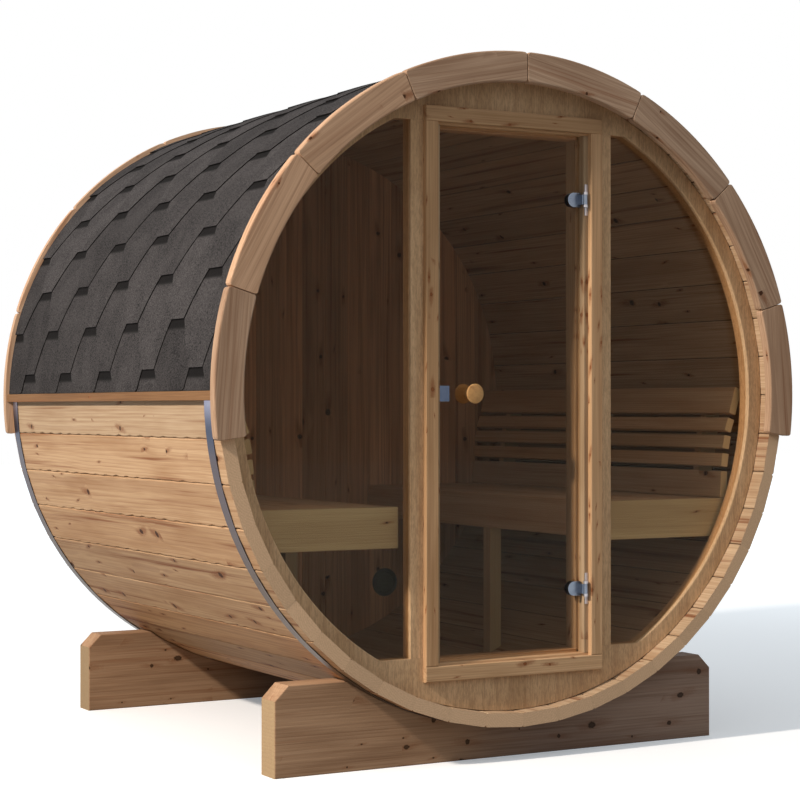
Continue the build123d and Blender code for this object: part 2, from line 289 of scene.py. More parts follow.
class Shader:
    """Short hand for wiring the nodes of one material or world."""

    def __init__(self, owner: bpy.types.Material | bpy.types.World,
                 output: str = "ShaderNodeOutputMaterial") -> None:
        """Starts with an empty node tree.

        Args:
            owner: The new material or world.
            output: Kind of its output node.
        """
        self.owner = owner
        self.owner.use_nodes = True
        self.tree = self.owner.node_tree
        self.tree.nodes.clear()
        self.output = self.tree.nodes.new(output)

    @classmethod
    def paint(cls, name: str) -> "Shader":
        """Starts a new material."""
        return cls(bpy.data.materials.new(name))

    def feed(self, target: Socket, value: object) -> None:
        """Links a socket to a target, or sets the target to a plain value.

        Args:
            target: Input of a node.
            value: Output of a node, or the plain value.
        """
        if isinstance(value, bpy.types.NodeSocket):
            self.tree.links.new(value, target)
        else:
            target.default_value = value

    def node(self, kind: str, inputs: Sequence[object] | dict[object, object] = (),
             **settings: object) -> bpy.types.Node:
        """Adds a node.

        Args:
            kind: Kind of node.
            inputs: What goes into its inputs, in their order, or by name or number.
            **settings: The node's own settings by name.

        Returns:
            The node.
        """
        node = self.tree.nodes.new(kind)
        for name, value in settings.items():
            setattr(node, name, value)
        pairs = inputs.items() if isinstance(inputs, dict) else enumerate(inputs)
        for key, value in pairs:
            self.feed(node.inputs[key], value)
        return node

    def math(self, operation: str, *operands: Operand) -> Socket:
        """Result of a Math node."""
        return self.node("ShaderNodeMath", operands, operation=operation).outputs[0]

    def product(self, first: Operand, second: Operand) -> Socket:
        """Product of two numbers."""
        return self.math("MULTIPLY", first, second)

    def scaled(self, value: Operand, factor: Operand, base: Operand) -> Socket:
        """A value times a factor, on top of a base."""
        return self.math("MULTIPLY_ADD", value, factor, base)

    def length(self, x: Operand, y: Operand) -> Socket:
        """Length of a flat vector."""
        return self.math("SQRT", self.math("ADD", self.product(x, x), self.product(y, y)))

    def join(self, x: Operand, y: Operand, z: Operand) -> Socket:
        """Vector of three numbers."""
        return self.node("ShaderNodeCombineXYZ", (x, y, z)).outputs[0]

    def stretch(self, parts: Sequence[Operand], rates: Sequence[float]) -> Socket:
        """Vector of three numbers, each times its own rate."""
        return self.join(*(self.product(part, rate) for part, rate in zip(parts, rates)))

    def split(self, vector: Socket) -> tuple[Socket, ...]:
        """Three numbers of a vector."""
        return tuple(self.node("ShaderNodeSeparateXYZ", (vector,)).outputs)

    def attribute(self, name: str) -> Socket:
        """Vector that the mesh stores under a name."""
        return self.node("ShaderNodeAttribute", attribute_name=name).outputs["Vector"]

    def place(self) -> Socket:
        """Place on the object, in metres."""
        return self.node("ShaderNodeTexCoord").outputs["Object"]

    def noise(self, vector: Socket, scale: float, detail: float, rough: float = 0.5) -> Socket:
        """Value of a noise texture, about 0.5 on average, with finer layers as detail."""
        inputs = {"Vector": vector, "Scale": scale, "Detail": detail, "Roughness": rough}
        return self.node("ShaderNodeTexNoise", inputs, noise_dimensions="3D").outputs["Fac"]

    def cells(self, vector: Socket, feature: str) -> bpy.types.Node:
        """Flat Voronoi texture of one cell per unit that measures a feature."""
        return self.node("ShaderNodeTexVoronoi", {"Vector": vector, "Scale": 1.0},
                         voronoi_dimensions="2D", feature=feature)

    def step(self, value: Operand, low: float, high: float, floor: float = 0.0,
             top: float = 1.0) -> Socket:
        """Smooth step of a value: the floor up to low, rising to the top from high on."""
        return self.node("ShaderNodeMapRange", (value, low, high, floor, top), clamp=True,
                         interpolation_type="SMOOTHSTEP").outputs["Result"]

    def blend(self, factor: Operand, low: object, high: object, mode: str = "MIX") -> Socket:
        """Mix of two colours, where a factor of 1 is the second."""
        return self.node("ShaderNodeMix", {0: factor, 6: low, 7: high}, data_type="RGBA",
                         blend_type=mode).outputs[2]

    def tint(self, colour: Socket, tint: object) -> Socket:
        """The colour multiplied by a tint."""
        return self.blend(1.0, colour, tint, "MULTIPLY")

    def bump(self, height: Socket, strength: float, distance: float) -> Socket:
        """Normal of a bumpy surface, where a height of 1 stands for the distance."""
        inputs = {"Strength": strength, "Distance": distance, "Height": height}
        return self.node("ShaderNodeBump", inputs).outputs["Normal"]

    def principled(self, colour: object, roughness: Operand, normal: Socket,
                   constants: dict[str, float] | None = None) -> Socket:
        """Surface of a Principled shader, with the other sockets that are constant."""
        inputs = {"Base Color": colour, "Roughness": roughness, "Normal": normal}
        return self.node("ShaderNodeBsdfPrincipled", inputs | (constants or {})).outputs[0]

    def mixed(self, factor: Operand, first: Socket, second: Socket) -> Socket:
        """Mix of two surfaces, where a factor of 1 is the second."""
        return self.node("ShaderNodeMixShader", (factor, first, second)).outputs[0]

    def shown(self) -> Socket:
        """1 for what the camera sees itself, through glass or in a reflection, else 0."""
        path = self.node("ShaderNodeLightPath").outputs
        return self.math("MAXIMUM", path["Is Camera Ray"],
                         self.math("MAXIMUM", path["Is Glossy Ray"], path["Is Transmission Ray"]))

    def done(self, surface: Socket) -> bpy.types.Material | bpy.types.World:
        """Connects the surface and returns the material or world."""
        self.feed(self.output.inputs["Surface"], surface)
        return self.owner


# ---- finishes ----


@dataclass(frozen=True)
class Lines:
    """Noise drawn out along the fibres.

    Its rate is the features per metre along and across them, and its span the values between
    which it comes to show.
    """

    rate: Point2
    span: Point2
    detail: float = 3.0
    rough: float = 0.58


@dataclass(frozen=True)
class Knots:
    """What the knots of a wood finish give at each point."""

    distance: Socket
    core: Socket
    rim: Socket
    halo: Socket


@dataclass(frozen=True)
class WoodFinish:
    """Planed softwood with growth rings, streaks, fibres, knots and paler end grain.

    It reads three vectors that each board stores: grain, the place in the board with its first
    number along the fibres, board, three random numbers of the board, and seam, how dark
    a corner is painted for a dark joint and for painted shade on a joint's downward flank.
    """

    name: str
    pale: str
    deep: str
    streak: str = "8A5432"
    knot: str = "452817"
    knot_rim: str = "24150D"
    # Colour of dark joints, also used as painted shade on the staves' downward groove flanks.
    seam: str = "24160E"
    fibre_tint: str = "C8B49A"
    rim_strength: float = 0.55
    halo_strength: float = 0.65
    core_strength: float = 0.94
    ring_width: float = 0.0068
    ring_strength: float = 0.45
    ring_wave: float = 0.007
    ring_sharpness: float = 2.2
    ring_gloss: float = -0.12
    late_wood_end: float = 0.90
    pith_path: Point3 = (0.55, 3.0, 3.0)
    wander: float = 0.06
    pith_spread: float = 0.16
    pith_depth: Point2 = (0.03, 0.13)
    streak_strength: float = 0.45
    cloud_strength: float = 0.5
    fibre_strength: float = 0.3
    strand_strength: float = 0.5
    fibres: Lines = Lines((5.0, 380.0), (0.35, 0.70))
    strands: Lines = Lines((1.5, 120.0), (0.45, 0.75))
    ribbons: Lines = Lines((0.7, 34.0), (0.54, 0.72))
    clouds: Lines = Lines((1.3, 9.0), (0.42, 0.70))
    speckle: Lines = Lines((45.0, 200.0), (0.40, 0.64), 4.0, 0.75)
    knot_share: float = 0.5
    knot_size: float = 0.008
    knot_least: float = 0.30
    knot_rarity: float = 2.5
    knot_core: Point2 = (0.86, 1.12)
    knot_rim_in: Point2 = (0.6, 0.95)
    knot_rim_out: Point2 = (1.0, 1.45)
    knot_halo: Point2 = (0.5, 2.4)
    knot_edge: float = 0.16
    knot_cell: Point2 = (0.26, 0.11)
    knot_slimness: Point2 = (0.78, 0.35)
    knot_clusters: Point2 = (0.46, 0.62)
    cluster_rate: float = 1.7
    sparse_share: float = 0.2
    knot_grit: float = 160.0
    knot_unevenness: float = 0.8
    knot_feather: float = 0.21
    knot_absent: float = 60.0
    knot_push: float = 1.1
    shift: Point2 = (37.0, 11.0)
    shift_inwards: float = 0.9
    tone_spread: float = 0.12
    warm_spread: float = 0.08
    mottle: float = 0.0
    mottle_colour: str = "84644C"
    lining_depth: float = 1.0
    lining_fade: float = 0.008
    lining_lift: float = 0.12
    joint_span: Point2 = (0.35, 0.9)
    joint_strength: float = 0.85
    # Painted shade: start, end and tint of a ragged cool shade across the width, or None.
    weathered: tuple[float, float, str] | None = None
    weather_rate: float = 6.0
    weather_fray: float = 0.3
    end_axis: int | None = None
    end_colour: str = "D8BC94"
    end_facing: Point2 = (0.7, 0.9)
    end_grit: float = 260.0
    end_rough: float = 0.7
    end_dark: Point2 = (0.6, 0.12)
    end_tones: Point2 = (0.87, 0.26)
    roughness: float = 0.62
    bump_depth: float = 0.0006
    specular: float = 0.06

    def material(self) -> bpy.types.Material:
        """Builds the finish.

        Returns:
            The material.
        """
        s = Shader.paint(self.name)
        x, y, z = s.split(s.attribute("grain"))
        a, b, c = s.split(s.attribute("board"))
        seam, _, _ = s.split(s.attribute("seam"))
        along = s.scaled(a, self.shift[0], x)
        across = s.scaled(b, self.shift[1], s.scaled(z, self.shift_inwards, y))
        knots = self._knots(s, along, across)
        push = s.math("DIVIDE", self.knot_size * self.knot_push,
                      s.scaled(s.product(knots.distance, knots.distance), 0.5, 1.0))
        rings = self._rings(s, (along, y, z), (b, c), push)
        bent = (along, s.math("ADD", across, push), z)
        fibre = self._drawn(s, bent, self.fibres)
        colour = self._figure(s, bent, (along, across, z), rings, fibre)
        for factor, paint in ((s.product(knots.halo, self.halo_strength), self.streak),
                              (s.product(knots.core, self.core_strength), self.knot),
                              (s.product(knots.rim, self.rim_strength), self.knot_rim)):
            colour = s.blend(factor, colour, srgb(paint))
        colour = self._tone(s, colour, (a, c), z)
        # Painted shade: a cool tint over part of the width, where the barrel's shadow falls on the
        # cradles.
        if self.weathered is not None:
            colour = self._weather(s, colour)
        if self.end_axis is not None:
            normal = s.split(s.node("ShaderNodeNewGeometry").outputs["True Normal"])
            ends = s.step(s.math("ABSOLUTE", normal[self.end_axis]), *self.end_facing)
            colour = s.blend(ends, colour, self._sawn(s, (y, z), (a, b), rings))
            seam = s.product(seam, s.math("SUBTRACT", 1.0, ends))
        # Dark joints, painted darker still as shade on the staves' downward flanks.
        depth = s.step(seam, *self.joint_span, 0.0, self.joint_strength)
        colour = s.blend(depth, colour, srgb(self.seam))
        height = s.math("SUBTRACT", s.product(fibre, 0.5), s.product(rings, 0.5))
        rough = s.math("ADD", self.roughness, s.product(rings, self.ring_gloss))
        return s.done(s.principled(colour, rough, s.bump(height, 0.5, self.bump_depth),
                                   {"Specular IOR Level": self.specular}))

    @staticmethod
    def _drawn(s: Shader, place: Sequence[Socket], lines: Lines) -> Socket:
        """Noise of some lines at a place along, across and into the board."""
        return s.noise(s.stretch(place, (*lines.rate, lines.rate[1])), 1.0, lines.detail,
                       lines.rough)

    def _figure(self, s: Shader, bent: Sequence[Socket], straight: Sequence[Socket],
                rings: Socket, fibre: Socket) -> Socket:
        """Colour of the clear wood.

        Args:
            s: The material.
            bent: Place in the board, bent round the knots.
            straight: Place in the board.
            rings: How dark the late wood is.
            fibre: Noise of the finest lines.

        Returns:
            The colour.
        """
        colour = s.blend(s.product(rings, self.ring_strength), srgb(self.pale),
                         srgb(self.deep))
        for lines, place, strength, paint in (
                (self.strands, bent, self.strand_strength, self.deep),
                (self.clouds, straight, self.cloud_strength, self.deep),
                (self.ribbons, bent, self.streak_strength, self.streak)):
            share = s.step(self._drawn(s, place, lines), *lines.span, 0.0, strength)
            colour = s.blend(share, colour, srgb(paint))
        colour = s.blend(s.product(s.step(fibre, *self.fibres.span), self.fibre_strength),
                         colour, s.tint(colour, srgb(self.fibre_tint)))
        if self.mottle > 0:
            share = s.step(self._drawn(s, straight, self.speckle), *self.speckle.span, 0.0,
                           self.mottle)
            colour = s.blend(share, colour, srgb(self.mottle_colour))
        return colour

    def _knots(self, s: Shader, along: Socket, across: Socket) -> Knots:
        """Knots scattered over the boards.

        Args:
            s: The material.
            along: Distance along the fibres.
            across: Distance across the face.

        Returns:
            Distance from the nearest knot in knot radii, its core, its dark rim and its halo.
        """
        cell_u, cell_v = self.knot_cell
        here = s.join(s.math("DIVIDE", along, cell_u), s.math("DIVIDE", across, cell_v), 0.0)
        hu, hv, _ = s.split(here)
        nearest = s.cells(here, "F1")
        ku, kv, _ = s.split(nearest.outputs["Position"])
        chance, size, shape = s.split(nearest.outputs["Color"])
        radius = s.product(s.math("ADD", self.knot_least, s.math("POWER", size, self.knot_rarity)),
                           self.knot_size)
        slimmest, slimmer = self.knot_slimness
        slim = s.scaled(shape, slimmer, slimmest)
        du = s.product(s.math("SUBTRACT", hu, ku), cell_u)
        dv = s.product(s.math("SUBTRACT", hv, kv), cell_v)
        ragged = s.noise(s.join(along, across, 0.0), self.knot_grit, 2.0)
        cluster = s.noise(s.join(s.product(along, 3.0), across, 0.0), self.cluster_rate, 1.0)
        share = s.step(cluster, *self.knot_clusters, self.knot_share * self.sparse_share,
                       self.knot_share * 2)
        absent = s.product(s.math("GREATER_THAN", chance, share), self.knot_absent)
        uneven = s.scaled(s.math("SUBTRACT", ragged, 0.5), self.knot_unevenness, absent)
        spread = s.length(s.product(du, slim), s.math("DIVIDE", dv, slim))
        distance = s.math("ADD", s.math("DIVIDE", spread, radius), uneven)
        skew = s.scaled(du, s.scaled(shape, 0.5, -0.25), dv)
        drawn = s.math("DIVIDE", s.length(s.product(du, self.knot_feather), skew), radius)
        feather = s.math("ADD", drawn, s.product(uneven, 2.0))
        edge = s.cells(here, "DISTANCE_TO_EDGE").outputs["Distance"]
        inside = s.step(edge, 0.0, self.knot_edge)
        return Knots(
            distance=distance,
            core=s.step(distance, *self.knot_core, 1.0, 0.0),
            rim=s.product(s.step(distance, *self.knot_rim_in),
                          s.step(distance, *self.knot_rim_out, 1.0, 0.0)),
            halo=s.product(s.step(feather, *self.knot_halo, 1.0, 0.0), inside))

    def _rings(self, s: Shader, place: Sequence[Socket], chance: Sequence[Socket],
               push: Socket) -> Socket:
        """Growth rings about a wandering pith, pushed aside by the knots.

        Args:
            s: The material.
            place: Distances along, across and into the board.
            chance: Two random numbers of the board.
            push: How far a knot pushes the rings aside.

        Returns:
            How dark the late wood is, from 0 to 1.
        """
        _, y, z = place
        b, c = chance
        path = s.stretch(place, self.pith_path)
        wander = s.product(s.math("SUBTRACT", s.noise(path, 1.0, 3.0), 0.5), self.wander)
        wave = s.product(s.math("SUBTRACT", s.noise(path, 4.0, 2.0), 0.5), self.ring_wave)
        pith_y = s.product(s.math("SUBTRACT", b, 0.5), self.pith_spread)
        shallow, deepest = self.pith_depth
        pith_z = s.scaled(c, deepest - shallow, shallow)
        dy = s.math("ADD", s.math("SUBTRACT", y, pith_y), wander)
        dz = s.math("ADD", s.math("ADD", z, pith_z), wave)
        radius = s.math("ADD", s.length(dy, dz), push)
        phase = s.math("FRACT", s.math("DIVIDE", radius, self.ring_width))
        return s.product(s.math("POWER", phase, self.ring_sharpness),
                         s.step(phase, self.late_wood_end, 1.0, 1.0, 0.0))

    def _tone(self, s: Shader, colour: Socket, chance: Sequence[Socket], z: Socket) -> Socket:
        """Makes each board a little lighter, darker, redder or yellower than the next.

        Args:
            s: The material.
            colour: Colour of the board so far.
            chance: The board's random numbers for lightness and for warmth.
            z: Distance into the board, below 0 under its face.

        Returns:
            The colour, paler and without the warmth on the side that lines the room.
        """
        a, c = chance
        outside = s.step(z, -self.lining_depth, self.lining_fade - self.lining_depth)
        light = s.scaled(s.math("SUBTRACT", a, 0.5), self.tone_spread * 2, 1.0)
        light = s.product(light, s.scaled(outside, -self.lining_lift, 1.0 + self.lining_lift))
        warmth = s.product(s.math("SUBTRACT", c, 0.5), outside)
        warm = s.scaled(warmth, self.warm_spread, 1.0)
        return s.tint(colour, s.join(s.product(light, warm), light,
                                     s.math("DIVIDE", light, warm)))

    def _weather(self, s: Shader, colour: Socket) -> Socket:
        """Paints a ragged cool shade on the timber past a point along the width of the sauna.

        Args:
            s: The material.
            colour: Colour of the timber before the painted shade.

        Returns:
            The colour, darker and bluer as painted shade past the start.
        """
        start, end, shade_tint = self.weathered
        place = s.place()
        x, _, _ = s.split(place)
        fray = s.noise(place, self.weather_rate, 3.0)
        ragged = s.scaled(fray, self.weather_fray, s.math("ADD", x, -self.weather_fray / 2))
        return s.blend(s.step(ragged, start, end), colour, s.tint(colour, srgb(shade_tint)))

    def _sawn(self, s: Shader, place: Sequence[Socket], chance: Sequence[Socket],
              rings: Socket) -> Socket:
        """Colour of the sawn ends.

        Args:
            s: The material.
            place: Distances across and into the board.
            chance: Two random numbers of the board.
            rings: How dark the late wood is.

        Returns:
            The colour.
        """
        a, b = chance
        grit = s.noise(s.join(*place, b), self.end_grit, 3.0, self.end_rough)
        grit_share, ring_share = self.end_dark
        growth = s.scaled(grit, grit_share, s.product(rings, ring_share))
        darkest, lighter = self.end_tones
        light = s.scaled(a, lighter, darkest)
        return s.tint(s.blend(growth, srgb(self.end_colour), srgb(self.deep)),
                      s.join(light, light, light))


@dataclass(frozen=True)
class ShingleFinish:
    """Bitumen shingle with stone granules and a dark shadow band under each tab.

    It reads shingle: the tab's own random number and how deep in shadow a corner lies.
    """

    name: str
    pale: str = "545152"
    deep: str = "19191A"
    shadow: str = "151414"
    tab_spread: float = 0.34
    grit_rate: float = 900.0
    grit_rough: float = 0.7
    speck_rate: float = 210.0
    speck_rough: float = 0.9
    speck_span: Point2 = (0.36, 0.64)
    speck_strength: float = 0.75
    patch_rate: float = 9.0
    patch_span: Point2 = (0.35, 0.65)
    patch_strength: float = 0.15
    shadow_fade: float = 0.4
    shadow_strength: float = 0.95
    roughness: float = 0.85
    uneven_gloss: float = 0.15
    bump_strength: float = 0.8
    bump_depth: float = 0.0012
    specular: float = 0.05

    def material(self) -> bpy.types.Material:
        """Builds the finish.

        Returns:
            The material.
        """
        s = Shader.paint(self.name)
        tab, band, _ = s.split(s.attribute("shingle"))
        place = s.place()
        grit = s.noise(place, self.grit_rate, 2.0, self.grit_rough)
        speck = s.noise(place, self.speck_rate, 3.0, self.speck_rough)
        patch = s.noise(place, self.patch_rate, 3.0)
        shade = s.math("ADD", s.product(s.step(speck, *self.speck_span), self.speck_strength),
                       s.product(s.step(patch, *self.patch_span), self.patch_strength))
        light = s.scaled(s.math("SUBTRACT", tab, 0.5), self.tab_spread, 1.0)
        colour = s.tint(s.blend(shade, srgb(self.deep), srgb(self.pale)),
                        s.join(light, light, light))
        ragged = s.math("ADD", band, s.product(s.math("SUBTRACT", speck, 0.5), 0.5))
        share = s.step(ragged, 0.0, self.shadow_fade, 0.0, self.shadow_strength)
        colour = s.blend(share, colour, srgb(self.shadow))
        bumps = s.bump(s.math("ADD", grit, speck), self.bump_strength, self.bump_depth)
        rough = s.scaled(grit, self.uneven_gloss, self.roughness)
        return s.done(s.principled(colour, rough, bumps, {"Specular IOR Level": self.specular}))


@dataclass(frozen=True)
class SteelFinish:
    """Satin steel with fine brushing and faint wear, with reflections painted on in bands lower
    down.

    Each painted reflection is the height down to which the steel keeps its own colour, the height
    at which the reflection's colour is full, and that colour.
    """

    name: str
    colour: str
    worn: str
    roughness: float = 0.34
    stains: tuple[tuple[float, float, str], ...] = ()
    brushing: Point3 = (30.0, 30.0, 600.0)
    brushing_rough: float = 0.6
    smear_rate: float = 22.0
    wear_span: Point2 = (0.35, 0.7)
    uneven_gloss: float = 0.18
    bump_strength: float = 0.15
    bump_depth: float = 0.0003

    def material(self) -> bpy.types.Material:
        """Builds the finish.

        Returns:
            The material.
        """
        s = Shader.paint(self.name)
        place = s.place()
        parts = s.split(place)
        lines = s.noise(s.stretch(parts, self.brushing), 1.0, 3.0, self.brushing_rough)
        smear = s.noise(place, self.smear_rate, 4.0, self.brushing_rough)
        colour = s.blend(s.step(smear, *self.wear_span), srgb(self.colour), srgb(self.worn))
        # Painted reflections: bands of colour by height that stand in for what the steel reflects.
        for own_colour_above, full_reflection_below, reflection_colour in self.stains:
            colour = s.blend(s.step(parts[2], full_reflection_below, own_colour_above, 1.0, 0.0), colour, srgb(reflection_colour))
        rough = s.scaled(lines, self.uneven_gloss, self.roughness - self.uneven_gloss / 2)
        bumps = s.bump(lines, self.bump_strength, self.bump_depth)
        return s.done(s.principled(colour, rough, bumps, {"Metallic": 1.0}))


@dataclass(frozen=True)
class GlassFinish:
    """Bronze-tinted toughened glass that lets the lamps in."""

    name: str
    tint: str
    gloss_colour: Colour = (1.0, 0.96, 0.82, 1.0)
    ior: float = 1.45
    most_gloss: float = 0.0065
    smear: float = 0.02

    def material(self) -> bpy.types.Material:
        """Builds the finish.

        Returns:
            The material.
        """
        s = Shader.paint(self.name)
        clear = s.node("ShaderNodeBsdfTransparent", (srgb(self.tint),))
        film = s.noise(s.place(), 3.0, 3.0)
        gloss = s.node("ShaderNodeBsdfGlossy", {"Color": self.gloss_colour,
                                                "Roughness": s.product(film, self.smear)})
        fresnel = s.node("ShaderNodeFresnel", {"IOR": self.ior})
        share = s.math("MINIMUM", fresnel.outputs[0], self.most_gloss)
        return s.done(s.mixed(share, clear.outputs[0], gloss.outputs[0]))


@dataclass(frozen=True)
class PlasticFinish:
    """Moulded matt plastic with a fine texture."""

    name: str
    colour: str
    worn: str
    cloud_rate: float = 30.0
    grain_rate: float = 700.0
    wear_span: Point2 = (0.35, 0.7)
    uneven_gloss: float = 0.15
    roughness: float = 0.505
    bump_strength: float = 0.3
    bump_depth: float = 0.0003

    def material(self) -> bpy.types.Material:
        """Builds the finish.

        Returns:
            The material.
        """
        s = Shader.paint(self.name)
        place = s.place()
        cloud = s.noise(place, self.cloud_rate, 3.0)
        colour = s.blend(s.step(cloud, *self.wear_span), srgb(self.colour), srgb(self.worn))
        rough = s.scaled(cloud, self.uneven_gloss, self.roughness - self.uneven_gloss / 2)
        fine = s.noise(place, self.grain_rate, 2.0)
        return s.done(s.principled(colour, rough,
                                   s.bump(fine, self.bump_strength, self.bump_depth)))


@dataclass
class Finishes:
    """Every finish on the sauna, made once and handed out by name."""

    recipes: dict[str, object] = field(default_factory=lambda: {recipe.name: recipe for recipe in (
        WoodFinish("stave_wood", "C2A98C", "936F4F", streak="744226", knot="341E12",
                   knot_share=0.34, knot_size=0.0080, knot_cell=(0.15, 0.075),
                   streak_strength=0.9, end_axis=1, end_colour="F4D0AA", tone_spread=0.14,
                   warm_spread=0.6, lining_depth=0.036),
        WoodFinish("trim_wood", "CEAD91", "916E55", knot_share=0.7, knot_cell=(0.20, 0.10),
                   ring_width=0.009, ring_strength=0.42, wander=0.11),
        # cradle_wood paints a cool shade from x -0.30 to 0.15 on, where the barrel's shadow falls.
        WoodFinish("cradle_wood", "C29E7E", "815F46", knot="4E3A2A", knot_share=0.85,
                   knot_size=0.0085, knot_cell=(0.15, 0.075), halo_strength=0.35,
                   weathered=(-0.30, 0.15, "D8E3FC"), ring_width=0.011, ring_strength=0.22,
                   strand_strength=0.35, wander=0.10, end_axis=0, end_colour="C4AA84"),
        WoodFinish("wall_wood", "DCBA92", "AC8861", knot_share=0.0, ring_strength=0.15,
                   strand_strength=0.25, streak_strength=0.15, mottle=0.40),
        WoodFinish("wall_boards", "E4B489", "8A6045", knot_share=0.75, streak_strength=0.7,
                   tone_spread=0.22),
        WoodFinish("frame_wood", "D6B088", "A47E58", knot="8A5230", rim_strength=0.3,
                   knot_share=0.9, knot_size=0.0045, knot_cell=(0.09, 0.045),
                   streak_strength=0.25, ring_strength=0.35, tone_spread=0.06),
        WoodFinish("bench_wood", "E2C6A4", "C29A70", knot_share=0.12, streak_strength=0.25,
                   tone_spread=0.08, ring_strength=0.35, end_axis=1, end_colour="DCD0A8"),
        WoodFinish("bench_end_boards", "DCCDA4", "BCA67E", knot_share=0.12,
                   streak_strength=0.15, tone_spread=0.05, ring_strength=0.35),
        # batten_wood: colour painted darker as shade under the roof's edge.
        WoodFinish("batten_wood", "8C6949", "66462E", knot_share=0.3, tone_spread=0.05),
        WoodFinish("knob_wood", "D2A874", "B4844E", knot_share=0.0, ring_width=0.004,
                   tone_spread=0.02),
        ShingleFinish("shingle"),
        # hoop_steel: pale high up, then painted reflections in blue, purple and brown lower down.
        SteelFinish("hoop_steel", "B8B6C6", "A8A6BA", 0.34,
                    ((1.12, 0.99, "30384E"), (0.98, 0.90, "4A4046"), (0.85, 0.50, "44362E"))),
        SteelFinish("fitting_steel", "7E8692", "727A88", 0.30),
        SteelFinish("latch_steel", "505868", "485060", 0.32),
        SteelFinish("plate_steel", "B8B4B8", "A8A6A8", 0.38),
        GlassFinish("tinted_glass", "F3EDE6"),
        PlasticFinish("vent_plastic", "16191C", "22262A"),
    )})
    made: dict[str, bpy.types.Material] = field(default_factory=dict)

    def get(self, name: str) -> bpy.types.Material:
        """The material of a finish, made the first time that it is asked for.

        Args:
            name: Name of the finish.

        Returns:
            The material.
        """
        if name not in self.made:
            self.made[name] = self.recipes[name].material()
        return self.made[name]


# ---- mesh building ----


